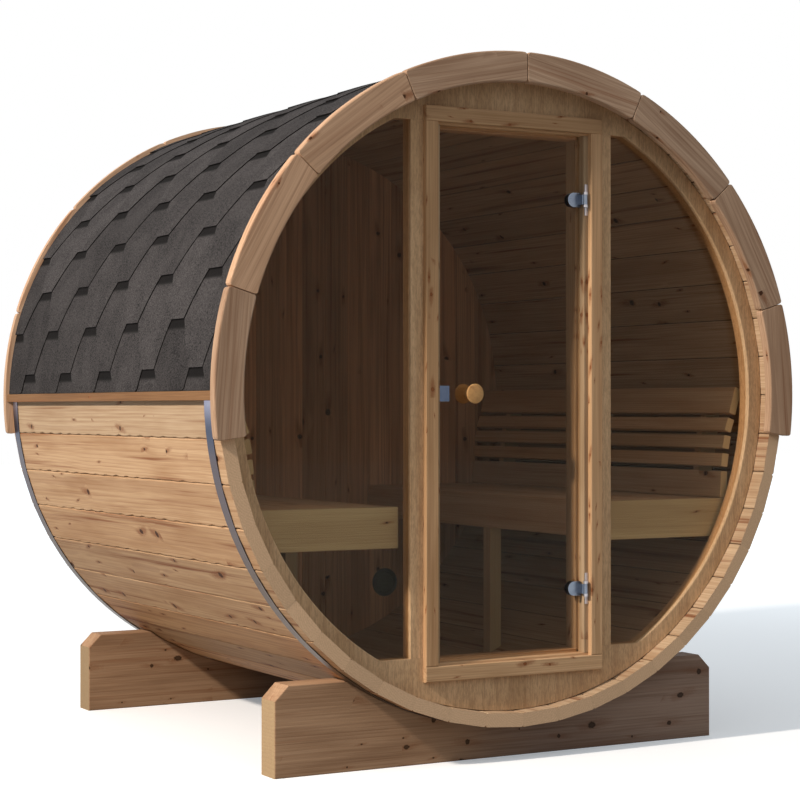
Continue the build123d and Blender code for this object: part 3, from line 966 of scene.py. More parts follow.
class Workpiece:
    """Gathers boards, plates, sheets and turned pieces into one mesh."""

    sharp_angle = 38.0
    end_arris = 0.0012

    def __init__(self, name: str, seed: int) -> None:
        """Starts an empty piece.

        Args:
            name: Name of the finished object.
            seed: Seed of the piece's own random numbers.
        """
        self.name = name
        self.random = random.Random(seed)
        self.vertices: list[Vector] = []
        self.faces: list[Face] = []
        self.smooth: list[bool] = []
        self.stored: dict[str, list[Vector]] = {"grain": [], "board": [], "seam": []}

    def chances(self) -> Vector:
        """Three random numbers for a board."""
        return Vector([self.random.random() for _ in range(3)])

    def add(self, points: Sequence[Vector], faces: Iterable[Face], smooth: bool,
            **stored: Callable[[Vector], Vector] | list[Vector] | Vector) -> None:
        """Adds one closed body.

        Args:
            points: Its corners in world space.
            faces: Its faces as indices into points.
            smooth: Whether its faces shade smoothly.
            **stored: For each stored vector, its value, one for each corner, or a function
                of the corner.
        """
        nothing = Vector((0, 0, 0))
        start = len(self.vertices)
        self.vertices += points
        for face in faces:
            self.faces.append([start + i for i in face])
            self.smooth.append(smooth)
        for name in sorted(set(self.stored) | set(stored)):
            values = self.stored.setdefault(name, [nothing] * start)
            value = stored.get(name, nothing)
            if isinstance(value, list):
                values.extend(value)
            else:
                values.extend(value(p) if callable(value) else value for p in points)

    def loft(self, loops: Sequence[Sequence[Vector]], grain: Place, smooth: bool = False,
             tone: Vector | None = None, seam: Sequence[float] | None = None) -> None:
        """Adds a closed body through loops with as many corners each.

        Args:
            loops: Loops of world points, the first and last of which are capped.
            grain: Frame with u along the fibres, v across the face and w out of it.
            smooth: Whether its faces shade smoothly.
            tone: The board's three random numbers, or None to draw them.
            seam: Joint darkness with painted shade at each corner of a loop, 0 to 1, or None for 0.
        """
        size = len(loops[0])
        last = (len(loops) - 1) * size
        faces: list[Face] = []
        for start in range(0, last, size):
            for i in range(size):
                j = (i + 1) % size
                faces.append((start + i, start + j, start + size + j, start + size + i))
        faces += [range(size)[::-1], range(last, last + size)]
        depths = seam or [0.0] * size
        self.add([p for loop in loops for p in loop], faces, smooth, grain=grain.local,
                 board=self.chances() if tone is None else tone,
                 seam=[Vector((depth, 0, 0)) for _ in loops for depth in depths])

    def sheet(self, outer: Sequence[Sequence[Vector]], inner: Sequence[Sequence[Vector]],
              **stored: list[Vector] | Vector) -> None:
        """Adds a bent sheet between two grids of points.

        Args:
            outer: Rows of points on its outer side.
            inner: As many rows of as many points on its inner side.
            **stored: For each stored vector, its value or one for each corner.
        """
        wide = len(outer[0])
        layer = len(outer) * wide
        last = layer - wide
        faces: list[Face] = []
        for row in range(0, last, wide):
            for a in range(row, row + wide - 1):
                b = layer + a
                faces.append((a, a + 1, a + wide + 1, a + wide))
                faces.append((b, b + wide, b + wide + 1, b + 1))
            for edge in (row, row + wide - 1):
                faces.append((edge, edge + wide, layer + edge + wide, layer + edge))
        for row in (0, last):
            for a in range(row, row + wide - 1):
                faces.append((a, a + 1, layer + a + 1, layer + a))
        points = [p for grid in (outer, inner) for line in grid for p in line]
        self.add(points, faces, False, **stored)

    def plate(self, outline: Sequence[Point2], place: Place, near: float, far: float,
              grain: Grain, arris: float = 0.003, back_arris: float = 0.001,
              weights: Sequence[float] | None = None, tone: Vector | None = None) -> None:
        """Adds a plate of any outline with rounded arrises.

        Args:
            outline: Outline in the place's u and v, counter-clockwise.
            place: Place of the outline.
            near: Where the face starts along w.
            far: Where the back ends along w.
            grain: Which way the fibres run.
            arris: Radius of the arris round the face.
            back_arris: Radius of the arris round the back.
            weights: Share of the arris at each corner, or None for all of it.
            tone: The board's three random numbers, or None to draw them.
        """
        shares = weights or [1.0] * len(outline)
        levels = arris_levels(near, arris) + [(far - back_arris, 0.0), (far, back_arris)]
        self.loft(place.loops((w, inset(outline, cut, shares)) for w, cut in levels),
                  place.fibres(grain), tone=tone)

    def bar(self, section: Sequence[Point2], place: Place, start: float, end: float,
            tone: Vector | None = None) -> None:
        """Adds a straight bar of any section with its fibres along w.

        Args:
            section: Outline of the section, with its long arrises rounded.
            place: Place with w along the bar.
            start: Where the bar starts along w.
            end: Where the bar ends along w.
            tone: The board's three random numbers, or None to draw them.
        """
        self.plate(section, place, start, end, Grain.ALONG_W, self.end_arris, self.end_arris,
                   tone=tone)

    def beam(self, place: Place, width: float, height: float, start: float, end: float,
             arris: float = 0.003) -> None:
        """Adds a straight bar of a rectangular section.

        Args:
            place: Place with w along the bar and the section's middle at its origin.
            width: Width along u.
            height: Height along v.
            start: Where the bar starts along w.
            end: Where the bar ends along w.
            arris: Radius of its long arrises.
        """
        section = rectangle(-width / 2, width / 2, -height / 2, height / 2)
        self.bar(rounded(section, arris), place, start, end)

    def turned(self, profile: Sequence[Point2], place: Place, segments: int = 40) -> None:
        """Adds a turned piece with its fibres along its axis.

        Args:
            profile: Radius and distance along w of each ring, from one face to the other.
            place: Place with the turning axis along w.
            segments: Flats round the axis.
        """
        rings = [(along, [polar(radius, 360 * i / segments) for i in range(segments)])
                 for radius, along in profile]
        self.loft(place.loops(rings), place.fibres(Grain.ALONG_W), smooth=True)

    def mesh(self) -> bpy.types.Mesh:
        """Makes the mesh, with the faces of every closed body turned outwards.

        Returns:
            The mesh.
        """
        mesh = bpy.data.meshes.new(self.name)
        mesh.from_pydata([tuple(v) for v in self.vertices], [], self.faces)
        mesh.polygons.foreach_set("use_smooth", self.smooth)
        for name, values in self.stored.items():
            layer = mesh.attributes.new(name, "FLOAT_VECTOR", "POINT")
            layer.data.foreach_set("vector", [n for v in values for n in v])
        mesh.update()
        if any(self.smooth):
            mesh.set_sharp_from_angle(angle=math.radians(self.sharp_angle))
        shape = bmesh.new()
        shape.from_mesh(mesh)
        bmesh.ops.recalc_face_normals(shape, faces=shape.faces)
        shape.to_mesh(mesh)
        shape.free()
        return mesh


# ---- barrel ----


@dataclass
class Setting:
    """What every sub-assembly is built from."""

    finishes: Finishes
    nodes: dict[str, bpy.types.Object]
    axis_height: float
    front: float
    length: float

    def section(self) -> Place:
        """Cross-section of the barrel: u right, v up, w back from the stave ends."""
        return Place(Vector((0, self.front, self.axis_height)), Vector((1, 0, 0)),
                     Vector((0, 0, 1)), Vector((0, 1, 0)))

    def across(self, u: float, v: float) -> Place:
        """The same directions from another point of the cross-section."""
        base = self.section()
        return Place(base.point(u, v, 0), base.u, base.v, base.w)

    def mount(self, piece: Workpiece, slot: str, *nodes: str, body: str = CABIN,
              finish: str | None = None) -> None:
        """Makes a piece's object and mounts it on the frame.

        Args:
            piece: The piece, with everything on it.
            slot: Material slot of the record.
            *nodes: Plain nodes of the frame that it stands for.
            body: Body of the frame that it moves with.
            finish: Name of the finish where it differs from the slot.
        """
        mesh = piece.mesh()
        thing = bpy.data.objects.new(piece.name, mesh)
        bpy.context.scene.collection.objects.link(thing)
        mesh.materials.append(self.finishes.get(finish or slot))
        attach(thing, body)
        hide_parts(*nodes)
        log.info("%s: %d faces on %s", piece.name, len(mesh.polygons), body)

    def dress(self, node: str, finish: str) -> None:
        """Gives a node of the frame its finish.

        Args:
            node: Name of the node.
            finish: Name of the finish.
        """
        mesh = self.nodes[node].data
        mesh.materials.clear()
        mesh.materials.append(self.finishes.get(finish))
        log.info("%s: dressed in %s", node, finish)


@dataclass
class Barrel:
    """The round wall of straight staves."""

    setting: Setting
    radius: float = 1.000
    thickness: float = 0.042
    count: int = 48
    panels: int = 12
    groove: float = 0.0034
    uneven_groove: Point2 = (0.75, 1.3)
    stations: int = 60
    end_wander: float = 0.0008
    nick_share: float = 0.5
    nick_spacing: float = 0.088
    nick_depth: float = 1.9
    upper_seam: float = 0.35
    low_shade: float = 0.4
    low_warmth: float = 0.8

    def build(self) -> None:
        """Builds the wall panel by panel."""
        each = self.count // self.panels
        for panel in range(self.panels):
            piece = Workpiece(f"staves_{panel + 1:02d}", 100 + panel)
            for i in range(each):
                self._stave(piece, panel * each + i)
            self.setting.mount(piece, "stave_wood", f"stave_panel_{panel + 1:02d}")

    def _stave(self, piece: Workpiece, index: int) -> None:
        """Adds one stave, its grooved joints a little ragged.

        Args:
            piece: The panel.
            index: Number of the stave, counted up from the right.
        """
        pitch = 360 / self.count
        middle = (index + 0.5) * pitch
        base = self.setting.section()
        out = Vector(polar(1, middle))
        flat = self.radius * math.cos(math.radians(pitch / 2))
        grain = Place(base.point(out.x * flat, out.y * flat, 0), base.w,
                      base.u * -out.y + base.v * out.x, base.u * out.x + base.v * out.y)
        draw = piece.random
        front, back = (draw.uniform(0, self.end_wander) for _ in range(2))
        nicked = draw.random() < self.nick_share
        phase = draw.uniform(0, self.nick_spacing)
        levels = []
        for k in range(self.stations + 1):
            w = front + (self.setting.length - front - back) * k / self.stations
            cuts = [self.groove * draw.uniform(*self.uneven_groove) for _ in range(2)]
            near = abs((w + phase) % self.nick_spacing - self.nick_spacing / 2)
            if nicked and near < self.setting.length / self.stations / 2:
                cuts[1] *= self.nick_depth
            levels.append((w, self._corners(cuts, index)))
        # Outside, each stave's lower edge, whose groove flank faces down, is painted dark as shade;
        # the lit upper edge is not.
        seams = (self.upper_seam, 1.0) if 90 < middle < 270 else (1.0, self.upper_seam)
        light, shift, warmth = (draw.random() for _ in range(3))
        # Staves lower on the barrel are painted darker as shade, and made warmer.
        low = 0.5 - 0.5 * math.sin(math.radians(middle))
        tone = Vector(((1 - self.low_shade) * light + self.low_shade * (1 - low), shift,
                       (1 - self.low_warmth) * warmth + self.low_warmth * low))
        piece.loft(base.loops(levels), grain, tone=tone,
                   seam=[seams[0], 0.0, 0.0, seams[1], 1.0, 0.0, 0.0, 1.0])

    def _corners(self, cuts: Sequence[float], index: int) -> list[Point2]:
        """Section of a stave.

        Args:
            cuts: Depth of the groove at its lower and its upper angle.
            index: Number of the stave.

        Returns:
            Four corners outside and four inside.
        """
        start, end = index * 360 / self.count, (index + 1) * 360 / self.count
        inner = self.radius - self.thickness
        first, second = (math.degrees(cut / self.radius) for cut in cuts)
        inner_turn = math.degrees(self.groove / inner)
        middle = (start + end) / 2
        return [
            polar(self.radius - cuts[0], start),
            self._on_face(start + first, middle),
            self._on_face(end - second, middle),
            polar(self.radius - cuts[1], end),
            polar(inner + self.groove, end),
            polar(inner, end - inner_turn),
            polar(inner, start + inner_turn),
            polar(inner + self.groove, start),
        ]

    def _on_face(self, angle: float, middle: float) -> Point2:
        """Point at an angle on the flat outer face of the stave about the middle angle."""
        flat = self.radius * math.cos(math.radians(180 / self.count))
        return polar(flat / math.cos(math.radians(angle - middle)), angle)


@dataclass
class TrimRings:
    """Curved boards over the stave ends, front and rear."""

    setting: Setting
    radius: float = 1.024
    width: float = 0.092
    thickness: float = 0.028
    count: int = 8
    board_angle: float = 24.4
    flat_angle: float = 1.55
    joint: float = 0.0015
    corner: float = 0.016
    arris: float = 0.005
    joint_arris: float = 0.35
    joint_reach: float = 0.7

    def build(self) -> None:
        """Builds both rings."""
        length = self.setting.length
        for name, seed, face, back in (("front", 7, -self.thickness, 0.0),
                                       ("rear", 8, length + self.thickness, length)):
            piece = Workpiece(f"trim_boards_{name}", seed)
            for board in range(self.count):
                self._board(piece, board, face, back)
            self.setting.mount(piece, "trim_wood", f"trim_{name}")

    def _board(self, piece: Workpiece, board: int, face: float, back: float) -> None:
        """Adds one curved board.

        Args:
            piece: The ring.
            board: Number of the board, counted up from the right.
            face: Where its face lies behind the stave ends.
            back: Where its back lies.
        """
        start = 90 - self.board_angle * self.count / 2 + board * self.board_angle
        end, middle = start + self.board_angle, start + self.board_angle / 2
        inner = self.radius - self.width
        outer_turn, inner_turn = (math.degrees(self.joint / 2 / r) for r in (self.radius, inner))
        outline = arc(self.radius, start + outer_turn, end - outer_turn, self.flat_angle)
        outline += arc(inner, end - inner_turn, start + inner_turn, self.flat_angle)
        outline = rounded(outline, self.corner)
        soft = self.corner * self.joint_reach
        shares = [1.0 if min(math.dist((u, v), polar(math.hypot(u, v), edge))
                             for edge in (start, end)) > soft else self.joint_arris
                  for u, v in outline]
        base = self.setting.section()
        out = Vector(polar(1, middle))
        grain = Place(base.point(*polar(self.radius - self.width / 2, middle), 0),
                      base.u * -out.y + base.v * out.x, base.u * out.x + base.v * out.y,
                      -base.w)
        levels = arris_levels(face, self.arris, 1 if back > face else -1) + [(back, 0.0)]
        piece.loft(base.loops((w, inset(outline, cut, shares)) for w, cut in levels), grain)


@dataclass
class Hoops:
    """Steel bands round the lower half, which keep the frame's own shape."""

    setting: Setting

    def build(self) -> None:
        """Dresses the bands."""
        self.setting.dress("hoops", "hoop_steel")


# ---- roof ----


@dataclass
class ShingleRoof:
    """Overlapping bitumen tabs on the upper half, with caps along the ridge."""

    setting: Setting
    piece: Workpiece = field(default_factory=lambda: Workpiece("roof_shingles", 21))
    base_radius: float = 1.0006
    top_radius: float = 1.0131
    underlay: float = 0.0045
    underlay_edge: float = 0.4
    pitch: float = 0.353
    tip_width: float = 0.097
    exposure: float = 0.1455
    covered: float = 0.022
    first_tip: float = 0.072
    first_centre: float = 0.135
    lower_edge: float = 0.0062
    ridge_gap: float = 0.004
    past_ridge: float = 0.05
    slot: float = 0.0008
    thickness: float = 0.0032
    smallest: float = 0.004
    sink: float = 0.0003
    slack: float = 0.0035
    unevenness: float = 0.0003
    steps: int = 5
    columns: int = 6
    covered_steps: tuple[float, ...] = (0.33, 0.66, 0.80, 0.93, 1.0)
    band: float = 0.036
    band_reach: float = 0.05
    cap_reach: float = 0.115
    cap_spacing: float = 0.160
    cap_depth: float = 0.250
    cap_least: float = 0.020
    cap_thickness: float = 0.0028
    cap_fall: float = 0.0030
    end_gap: float = 0.0008

    def build(self) -> None:
        """Builds an underlay, both slopes and the ridge."""
        self._underlay()
        rows = math.ceil((self.ridge - self.first_tip) / self.exposure)
        for side in Side:
            for row in range(-2, rows):
                self._course(side, row)
        self._caps()
        self.setting.mount(self.piece, "shingle", "roof_covering")

    @property
    def ridge(self) -> float:
        """Distance of the ridge up the slope."""
        return math.pi / 2 * self.top_radius

    def _on_slope(self, side: Side, w: float, reach: float, radius: float) -> Vector:
        """Point at a distance up the slope, measured round the barrel.

        Args:
            side: Side of the roof.
            w: Distance behind the stave ends.
            reach: Distance up the slope.
            radius: Distance from the axis.

        Returns:
            The point.
        """
        angle = reach / self.top_radius
        return self.setting.section().point(side * radius * math.cos(angle),
                                            radius * math.sin(angle), w)

    def _underlay(self) -> None:
        """Adds the plain sheet under the tabs."""
        ends = (self.end_gap, self.setting.length - self.end_gap)
        outer, inner = (arc(self.base_radius + rise, self.underlay_edge,
                            180 - self.underlay_edge, 2.0) for rise in (self.underlay, 0.0))
        base = self.setting.section()
        self.piece.sheet(base.loops((w, outer) for w in ends),
                         base.loops((w, inner) for w in ends), shingle=Vector((0.5, 0, 0)))

    def _course(self, side: Side, row: int) -> None:
        """Adds one course of tabs.

        Args:
            side: Side of the roof.
            row: Number of the course, counted up from the first whole one.
        """
        tip = self.first_tip + row * self.exposure
        centre = self.first_centre + (row % 2 - 2) * self.pitch / 2
        while centre < self.setting.length + self.pitch / 2:
            self._tab(side, tip, centre)
            centre += self.pitch

    def _tab(self, side: Side, tip: float, centre: float) -> None:
        """Adds one tab: narrow at its tip, wide at the slots, running on under the next course.

        Args:
            side: Side of the roof.
            tip: Distance of the tip up the slope.
            centre: Distance of the tab's middle behind the stave ends.
        """
        draw = self.piece.random
        top = self.top_radius + draw.uniform(-self.unevenness, self.unevenness)
        chance = draw.random()
        rows = self._rows(tip, centre)
        if len(rows) < 2 or rows[-1][0][0] - rows[0][0][0] < self.smallest:
            return
        overlap = 2 * self.exposure
        fall = self.top_radius - self.base_radius - self.thickness - self.slack
        drop = fall / (overlap + self.covered)
        grids: list[list[list[Vector]]] = []
        marks: list[Vector] = []
        for inside in (0.0, self.thickness):
            grids.append([])
            for line in rows:
                grids[-1].append([])
                for up, w in line:
                    radius = top - self.sink - drop * max(up, 0) - inside
                    grids[-1][-1].append(self._on_slope(side, w, tip + up, radius))
                    under = 1 - (overlap - up) / self.band if up <= overlap + 0.01 else 1.0
                    near = abs(w - centre) < self.tip_width / 2 + self.band_reach
                    depth = 1.0 if inside else max(under, 0.0) if near else 0.0
                    marks.append(Vector((chance, depth, 0)))
        self.piece.sheet(*grids, shingle=marks)

    def _rows(self, tip: float, centre: float) -> list[list[Point2]]:
        """Rows of points over a tab, cut off at the batten, the ridge and the stave ends.

        Args:
            tip: Distance of the tip up the slope.
            centre: Distance of the tab's middle behind the stave ends.

        Returns:
            Distance up from the tip and distance behind the stave ends of each point, or
            nothing where the tab would be too narrow.
        """
        exposure, steps = self.exposure, self.steps
        narrow, wide = self.tip_width / 2, (self.pitch - self.tip_width) / 2
        full = (self.pitch - self.slot) / 2
        stations = [(exposure * k / steps, narrow + (wide - narrow) * k / steps)
                    for k in range(steps + 1)]
        stations.append((exposure + self.slot, full))
        for t in self.covered_steps:
            stations.append((exposure + (exposure + self.covered) * t, full))
        low, high = self.lower_edge - tip, self.ridge - self.ridge_gap - tip
        rows: list[list[Point2]] = []
        for up, half in stations:
            if up <= low - exposure / steps:
                continue
            up = max(up, low)
            if up >= high + self.past_ridge:
                continue
            left = max(centre - half, self.end_gap)
            right = min(centre + half, self.setting.length - self.end_gap)
            if right - left < self.smallest:
                return []
            rows.append([(min(up, high), left + (right - left) * i / self.columns)
                         for i in range(self.columns + 1)])
        return rows

    def _caps(self) -> None:
        """Adds the caps that lie over one another along the ridge."""
        base = self.setting.section()
        turn = math.degrees(self.cap_reach / self.top_radius)
        start = self.end_gap
        while start < self.setting.length - self.cap_least:
            end = min(start + self.cap_depth, self.setting.length - self.end_gap)
            chance = self.piece.random.random()
            grids = [base.loops((w, arc(self.top_radius - fall - inside, 90 - turn, 90 + turn, 1.6))
                                for w, fall in ((start, 0.0), (end, self.cap_fall)))
                     for inside in (0.0, self.cap_thickness)]
            self.piece.sheet(*grids, shingle=Vector((chance, 0, 0)))
            start += self.cap_spacing


@dataclass
class RoofBattens:
    """The strips that end the roof covering on both sides."""

    setting: Setting
    inner: float = 1.0003
    thickness: float = 0.018
    low: float = -0.022
    height: float = 0.027
    arris: float = 0.002

    def build(self) -> None:
        """Builds both battens."""
        piece = Workpiece("roof_batten_strips", 31)
        for side in Side:
            place = self.setting.across(side * (self.inner + self.thickness / 2),
                                        self.low + self.height / 2)
            piece.beam(place, self.thickness, self.height, 0.0, self.setting.length, self.arris)
        self.setting.mount(piece, "batten_wood", "roof_battens")


# ---- end walls ----


@dataclass
class FrontWall:
    """The glazed front: head, foot, round rims and posts, all with upright grain."""

    setting: Setting
    face: float = WALL_FACE
    thickness: float = WALL_THICKNESS
    radius: float = WALL_RADIUS
    window_radius: float = 0.905
    window_top: float = 0.807
    window_low: float = -0.780
    window_edge: float = 0.359
    lining_edge: float = 0.285
    lining_height: float = 0.825
    arris: float = 0.004
    round_share: float = 0.3
    joint_share: float = 0.05
    tone: Vector = field(default_factory=lambda: Vector((0.5, 0.4, 0.5)))
    post_tone: Vector = field(default_factory=lambda: Vector((0.85, 0.4, 0.5)))

    def build(self) -> None:
        """Builds the six pieces of the wall."""
        self._cap("head", "top", 1, self.window_top)
        self._cap("foot", "bottom", -1, -self.window_low)
        for side in Side:
            self._rim(side)
            post = rectangle(self.lining_edge, self.window_edge, self.window_low,
                             self.window_top)
            self._board(f"front_upright_{side.hand}", 61 + side, mirrored(post, side),
                        [self.joint_share] * len(post), self.post_tone, f"front_post_{side.hand}")

    def _board(self, name: str, seed: int, outline: Sequence[Point2], shares: Sequence[float],
               tone: Vector, node: str) -> None:
        """Builds one piece of the wall.

        Args:
            name: Name of the piece.
            seed: Seed of its random numbers.
            outline: Outline of its face.
            shares: Share of the arris at each corner.
            tone: The board's three random numbers.
            node: Plain node that it stands for.
        """
        piece = Workpiece(name, seed)
        piece.plate(outline, self.setting.section(), self.face, self.face + self.thickness,
                    Grain.ALONG_V, self.arris, weights=shares, tone=tone)
        self.setting.mount(piece, "wall_wood", node)

    def _shares(self, rim: Sequence[Point2], inner: Sequence[Point2],
                inner_share: float) -> list[float]:
        """Share of the arris at each corner, next to none where two pieces meet.

        Args:
            rim: Corners along the round wall.
            inner: The other corners.
            inner_share: Share at the other corners.

        Returns:
            The shares, in the order of the corners.
        """
        shares = [self.round_share] * len(rim) + [inner_share] * len(inner)
        for corner in (0, len(rim) - 1, len(rim), -1):
            shares[corner] = self.joint_share
        return shares

    def _cap(self, name: str, end: str, upward: int, edge: float) -> None:
        """Builds the head or the foot, notched for the door lining.

        Args:
            name: Name of the piece.
            end: Which end of the wall it is in the frame.
            upward: 1 for the head and -1 for the foot.
            edge: Distance of its straight edge from the axis.
        """
        turn = rise_angle(edge, self.radius)
        rim = arc(self.radius, turn, 180 - turn)
        inner = [(-self.lining_edge, edge), (-self.lining_edge, self.lining_height),
                 (self.lining_edge, self.lining_height), (self.lining_edge, edge)]
        outline, shares = rim + inner, self._shares(rim, inner, self.joint_share)
        if upward < 0:
            outline, shares = [(u, -v) for u, v in reversed(outline)], shares[::-1]
        self._board(f"front_wall_{name}", 41 + upward, outline, shares, self.tone,
                    f"front_wall_{end}")

    def _rim(self, side: Side) -> None:
        """Builds the curved rim outside one window.

        Args:
            side: Side of the door.
        """
        span = (self.window_low, self.window_top)
        rim = arc(self.radius, *(rise_angle(v, self.radius) for v in span))
        edge = arc(self.window_radius, *(rise_angle(v, self.window_radius) for v in span[::-1]))
        shares = self._shares(rim, edge, 1.0)
        self._board(f"front_rim_{side.hand}", 51 + side, mirrored(rim + edge, side), shares[::side],
                    self.tone, f"front_wall_{side.hand}")


@dataclass
class BackWall:
    """Upright boards across the rear, cut round the vent."""

    setting: Setting
    recess: float = WALL_FACE
    thickness: float = WALL_THICKNESS
    radius: float = WALL_RADIUS
    board: float = 0.0955
    narrowest: float = 0.006
    groove: float = 0.003
    columns: int = 6
    least: float = 1e-4
    vent: Point2 = VENT_CENTRE
    vent_radius: float = 0.0463

    def build(self) -> None:
        """Builds the boards from left to right."""
        piece = Workpiece("back_wall_boards", 71)
        count = math.floor(2 * self.radius / self.board)
        left = -self.board * count / 2
        edges = [-self.radius] + [left + self.board * i for i in range(count + 1)]
        edges.append(self.radius)
        for low, high in zip(edges, edges[1:]):
            if high - low > self.narrowest:
                self._board(piece, low, high)
        self.setting.mount(piece, "wall_wood", "back_wall", finish="wall_boards")

    def _board(self, piece: Workpiece, left: float, right: float) -> None:
        """Adds one board, in two lengths where the vent cuts it.

        Args:
            piece: The wall.
            left: Where its left edge lies.
            right: Where its right edge lies.
        """
        columns = [left + (right - left) * i / self.columns for i in range(self.columns + 1)]
        top = [(u, half_chord(self.radius, u, self.least)) for u in columns]
        low = [(u, -v) for u, v in top]
        hole_u, hole_v = self.vent
        tone = piece.chances()
        if left < hole_u + self.vent_radius and right > hole_u - self.vent_radius:
            hole = [(u, half_chord(self.vent_radius, u - hole_u)) for u in columns]
            self._length(piece, [(u, hole_v + h) for u, h in hole], top, tone)
            self._length(piece, low, [(u, hole_v - h) for u, h in hole], tone)
        else:
            self._length(piece, low, top, tone)

    def _length(self, piece: Workpiece, low: Sequence[Point2], top: Sequence[Point2],
                tone: Vector) -> None:
        """Adds a length of board.

        Args:
            piece: The wall.
            low: Its lower edge, from left to right.
            top: Its upper edge, from left to right.
            tone: The board's three random numbers.
        """
        middle = (low[0][0] + low[-1][0]) / 2
        edge = [(u - middle, v) for u, v in [*low, *reversed(top)]]
        outline = [p for i, p in enumerate(edge) if math.dist(p, edge[i - 1]) > self.least]
        base = self.setting.section()
        back = self.setting.length - self.recess
        place = Place(base.point(middle, 0, back), base.u, base.v, base.w)
        piece.plate(outline, place, -self.thickness, 0.0, Grain.ALONG_V, self.groove,
                    self.groove, tone=tone)


@dataclass
class Vent:
    """Round vent low in the back wall, with a rim and blades on both faces."""

    setting: Setting
    centre: Point2 = VENT_CENTRE
    radius: float = 0.054
    bore: float = 0.0457
    opening: float = 0.038
    flange: float = 0.003
    edge: float = 0.002
    sink: float = 0.010
    inside: float = 0.097
    wall: float = WALL_THICKNESS
    blade_spacing: float = 0.0098
    blade_reach: float = 0.0375
    blade_width: float = 0.0075
    blade_thickness: float = 0.0016
    blade_arris: float = 0.0006
    blade_slope: Point2 = (0.8, 0.6)
    blade_depths: Point2 = (0.005, 0.040)

    def build(self) -> None:
        """Builds the sleeve, the rims and the blades."""
        piece = Workpiece("vent_grille", 81)
        face = self.setting.length - self.inside
        rim = [(self.opening, -self.sink), (self.opening + self.edge, self.flange * 0.4),
               (self.opening + 2 * self.edge, self.flange),
               (self.radius - self.edge, self.flange), (self.radius, self.flange * 0.5),
               (self.radius, 0.0), (self.bore, 0.0)]
        profile = [(radius, face - out) for radius, out in rim]
        profile += [(radius, face + self.wall + out) for radius, out in reversed(rim)]
        piece.turned(profile, self.setting.across(*self.centre))
        base = self.setting.section()
        back, up = self.blade_slope
        for depth in self.blade_depths:
            for k in range(-3, 4):
                v = k * self.blade_spacing
                half = half_chord(self.blade_reach, v)
                blade = Place(base.point(self.centre[0], self.centre[1] + v, face + depth),
                              base.w * back + base.v * up, base.v * back - base.w * up, base.u)
                piece.beam(blade, self.blade_width, self.blade_thickness, -half, half,
                           self.blade_arris)
        self.setting.mount(piece, "vent_plastic", "vent")


# ---- door ----


@dataclass
class DoorFrame:
    """Casing on the wall face and stepped lining through the wall."""

    setting: Setting
    face: float = WALL_FACE
    casing_inner: float = 0.273
    casing_outer: float = 0.316
    casing_low: float = 0.805
    casing_high: float = 0.851
    casing_thickness: float = 0.018
    lining_inner: float = 0.258
    lining_outer: float = 0.285
    lining_low: float = 0.798
    lining_high: float = 0.825
    lining_back: float = 0.137
    lining_arris: float = 0.0003
    stop_edge: float = 0.248
    stop_height: float = 0.788
    stop_face: float = 0.084
    arris: float = 0.0032
    side_light: float = -0.6
    side_warmth: float = -1.0

    def build(self) -> None:
        """Builds the four sides of the frame."""
        base = self.setting.section()
        half_width = (self.casing_outer - self.casing_inner) / 2
        for side in Side:
            piece = Workpiece(f"door_frame_side_{side.hand}", 91 + side)
            middle = side * (self.casing_inner + half_width)
            self._casing(piece, (middle, 0), (half_width, self.casing_low), Grain.ALONG_V)
            # The side linings are painted darker and less warm, as shade in the door's reveal.
            tone = Vector((self.side_light, piece.random.random(), self.side_warmth))
            self._lining(piece, Place(base.origin, base.u, base.w, base.v), side,
                         (self.lining_inner, self.lining_outer, self.stop_edge),
                         self.lining_low, tone)
            self.setting.mount(piece, "frame_wood", f"door_frame_{side.hand}")
        half_height = (self.casing_high - self.casing_low) / 2
        for side, name in ((1, "head"), (-1, "sill")):
            piece = Workpiece(f"door_frame_{name}_boards", 95 + side)
            middle = side * (self.casing_low + half_height)
            self._casing(piece, (0, middle), (self.casing_outer, half_height), Grain.ALONG_U)
            self._lining(piece, Place(base.origin, base.v, base.w, base.u), side,
                         (self.lining_low, self.lining_high, self.stop_height),
                         self.lining_outer, None)
            self.setting.mount(piece, "frame_wood", f"door_frame_{name}")

    def _casing(self, piece: Workpiece, middle: Point2, half: Point2, grain: Grain) -> None:
        """Adds one board of the casing.

        Args:
            piece: The side of the frame.
            middle: Middle of the board across and up.
            half: Half its width and half its height.
            grain: Which way the fibres run.
        """
        outline = rectangle(-half[0], half[0], -half[1], half[1])
        piece.plate(outline, self.setting.across(*middle), self.face - self.casing_thickness,
                    self.face, grain, self.arris)

    def _lining(self, piece: Workpiece, place: Place, side: int, edges: Point3, half: float,
                tone: Vector | None) -> None:
        """Adds one board of the lining, stepped for the pane to shut against.

        Args:
            piece: The side of the frame.
            place: Place with u away from the opening, v back and w along the board.
            side: 1 for the right or upper board and -1 for the other.
            edges: Distance of its inner and outer faces and of its stop from the axis.
            half: Half its length.
            tone: The board's three random numbers, or None to draw them.
        """
        inner, outer, stop = edges
        section = [(outer, self.face), (outer, self.lining_back), (stop, self.lining_back),
                   (stop, self.stop_face), (inner, self.stop_face), (inner, self.face)]
        piece.plate(rounded(mirrored(section, side), self.arris), place, -half, half,
                    Grain.ALONG_W, self.lining_arris, self.lining_arris, tone=tone)


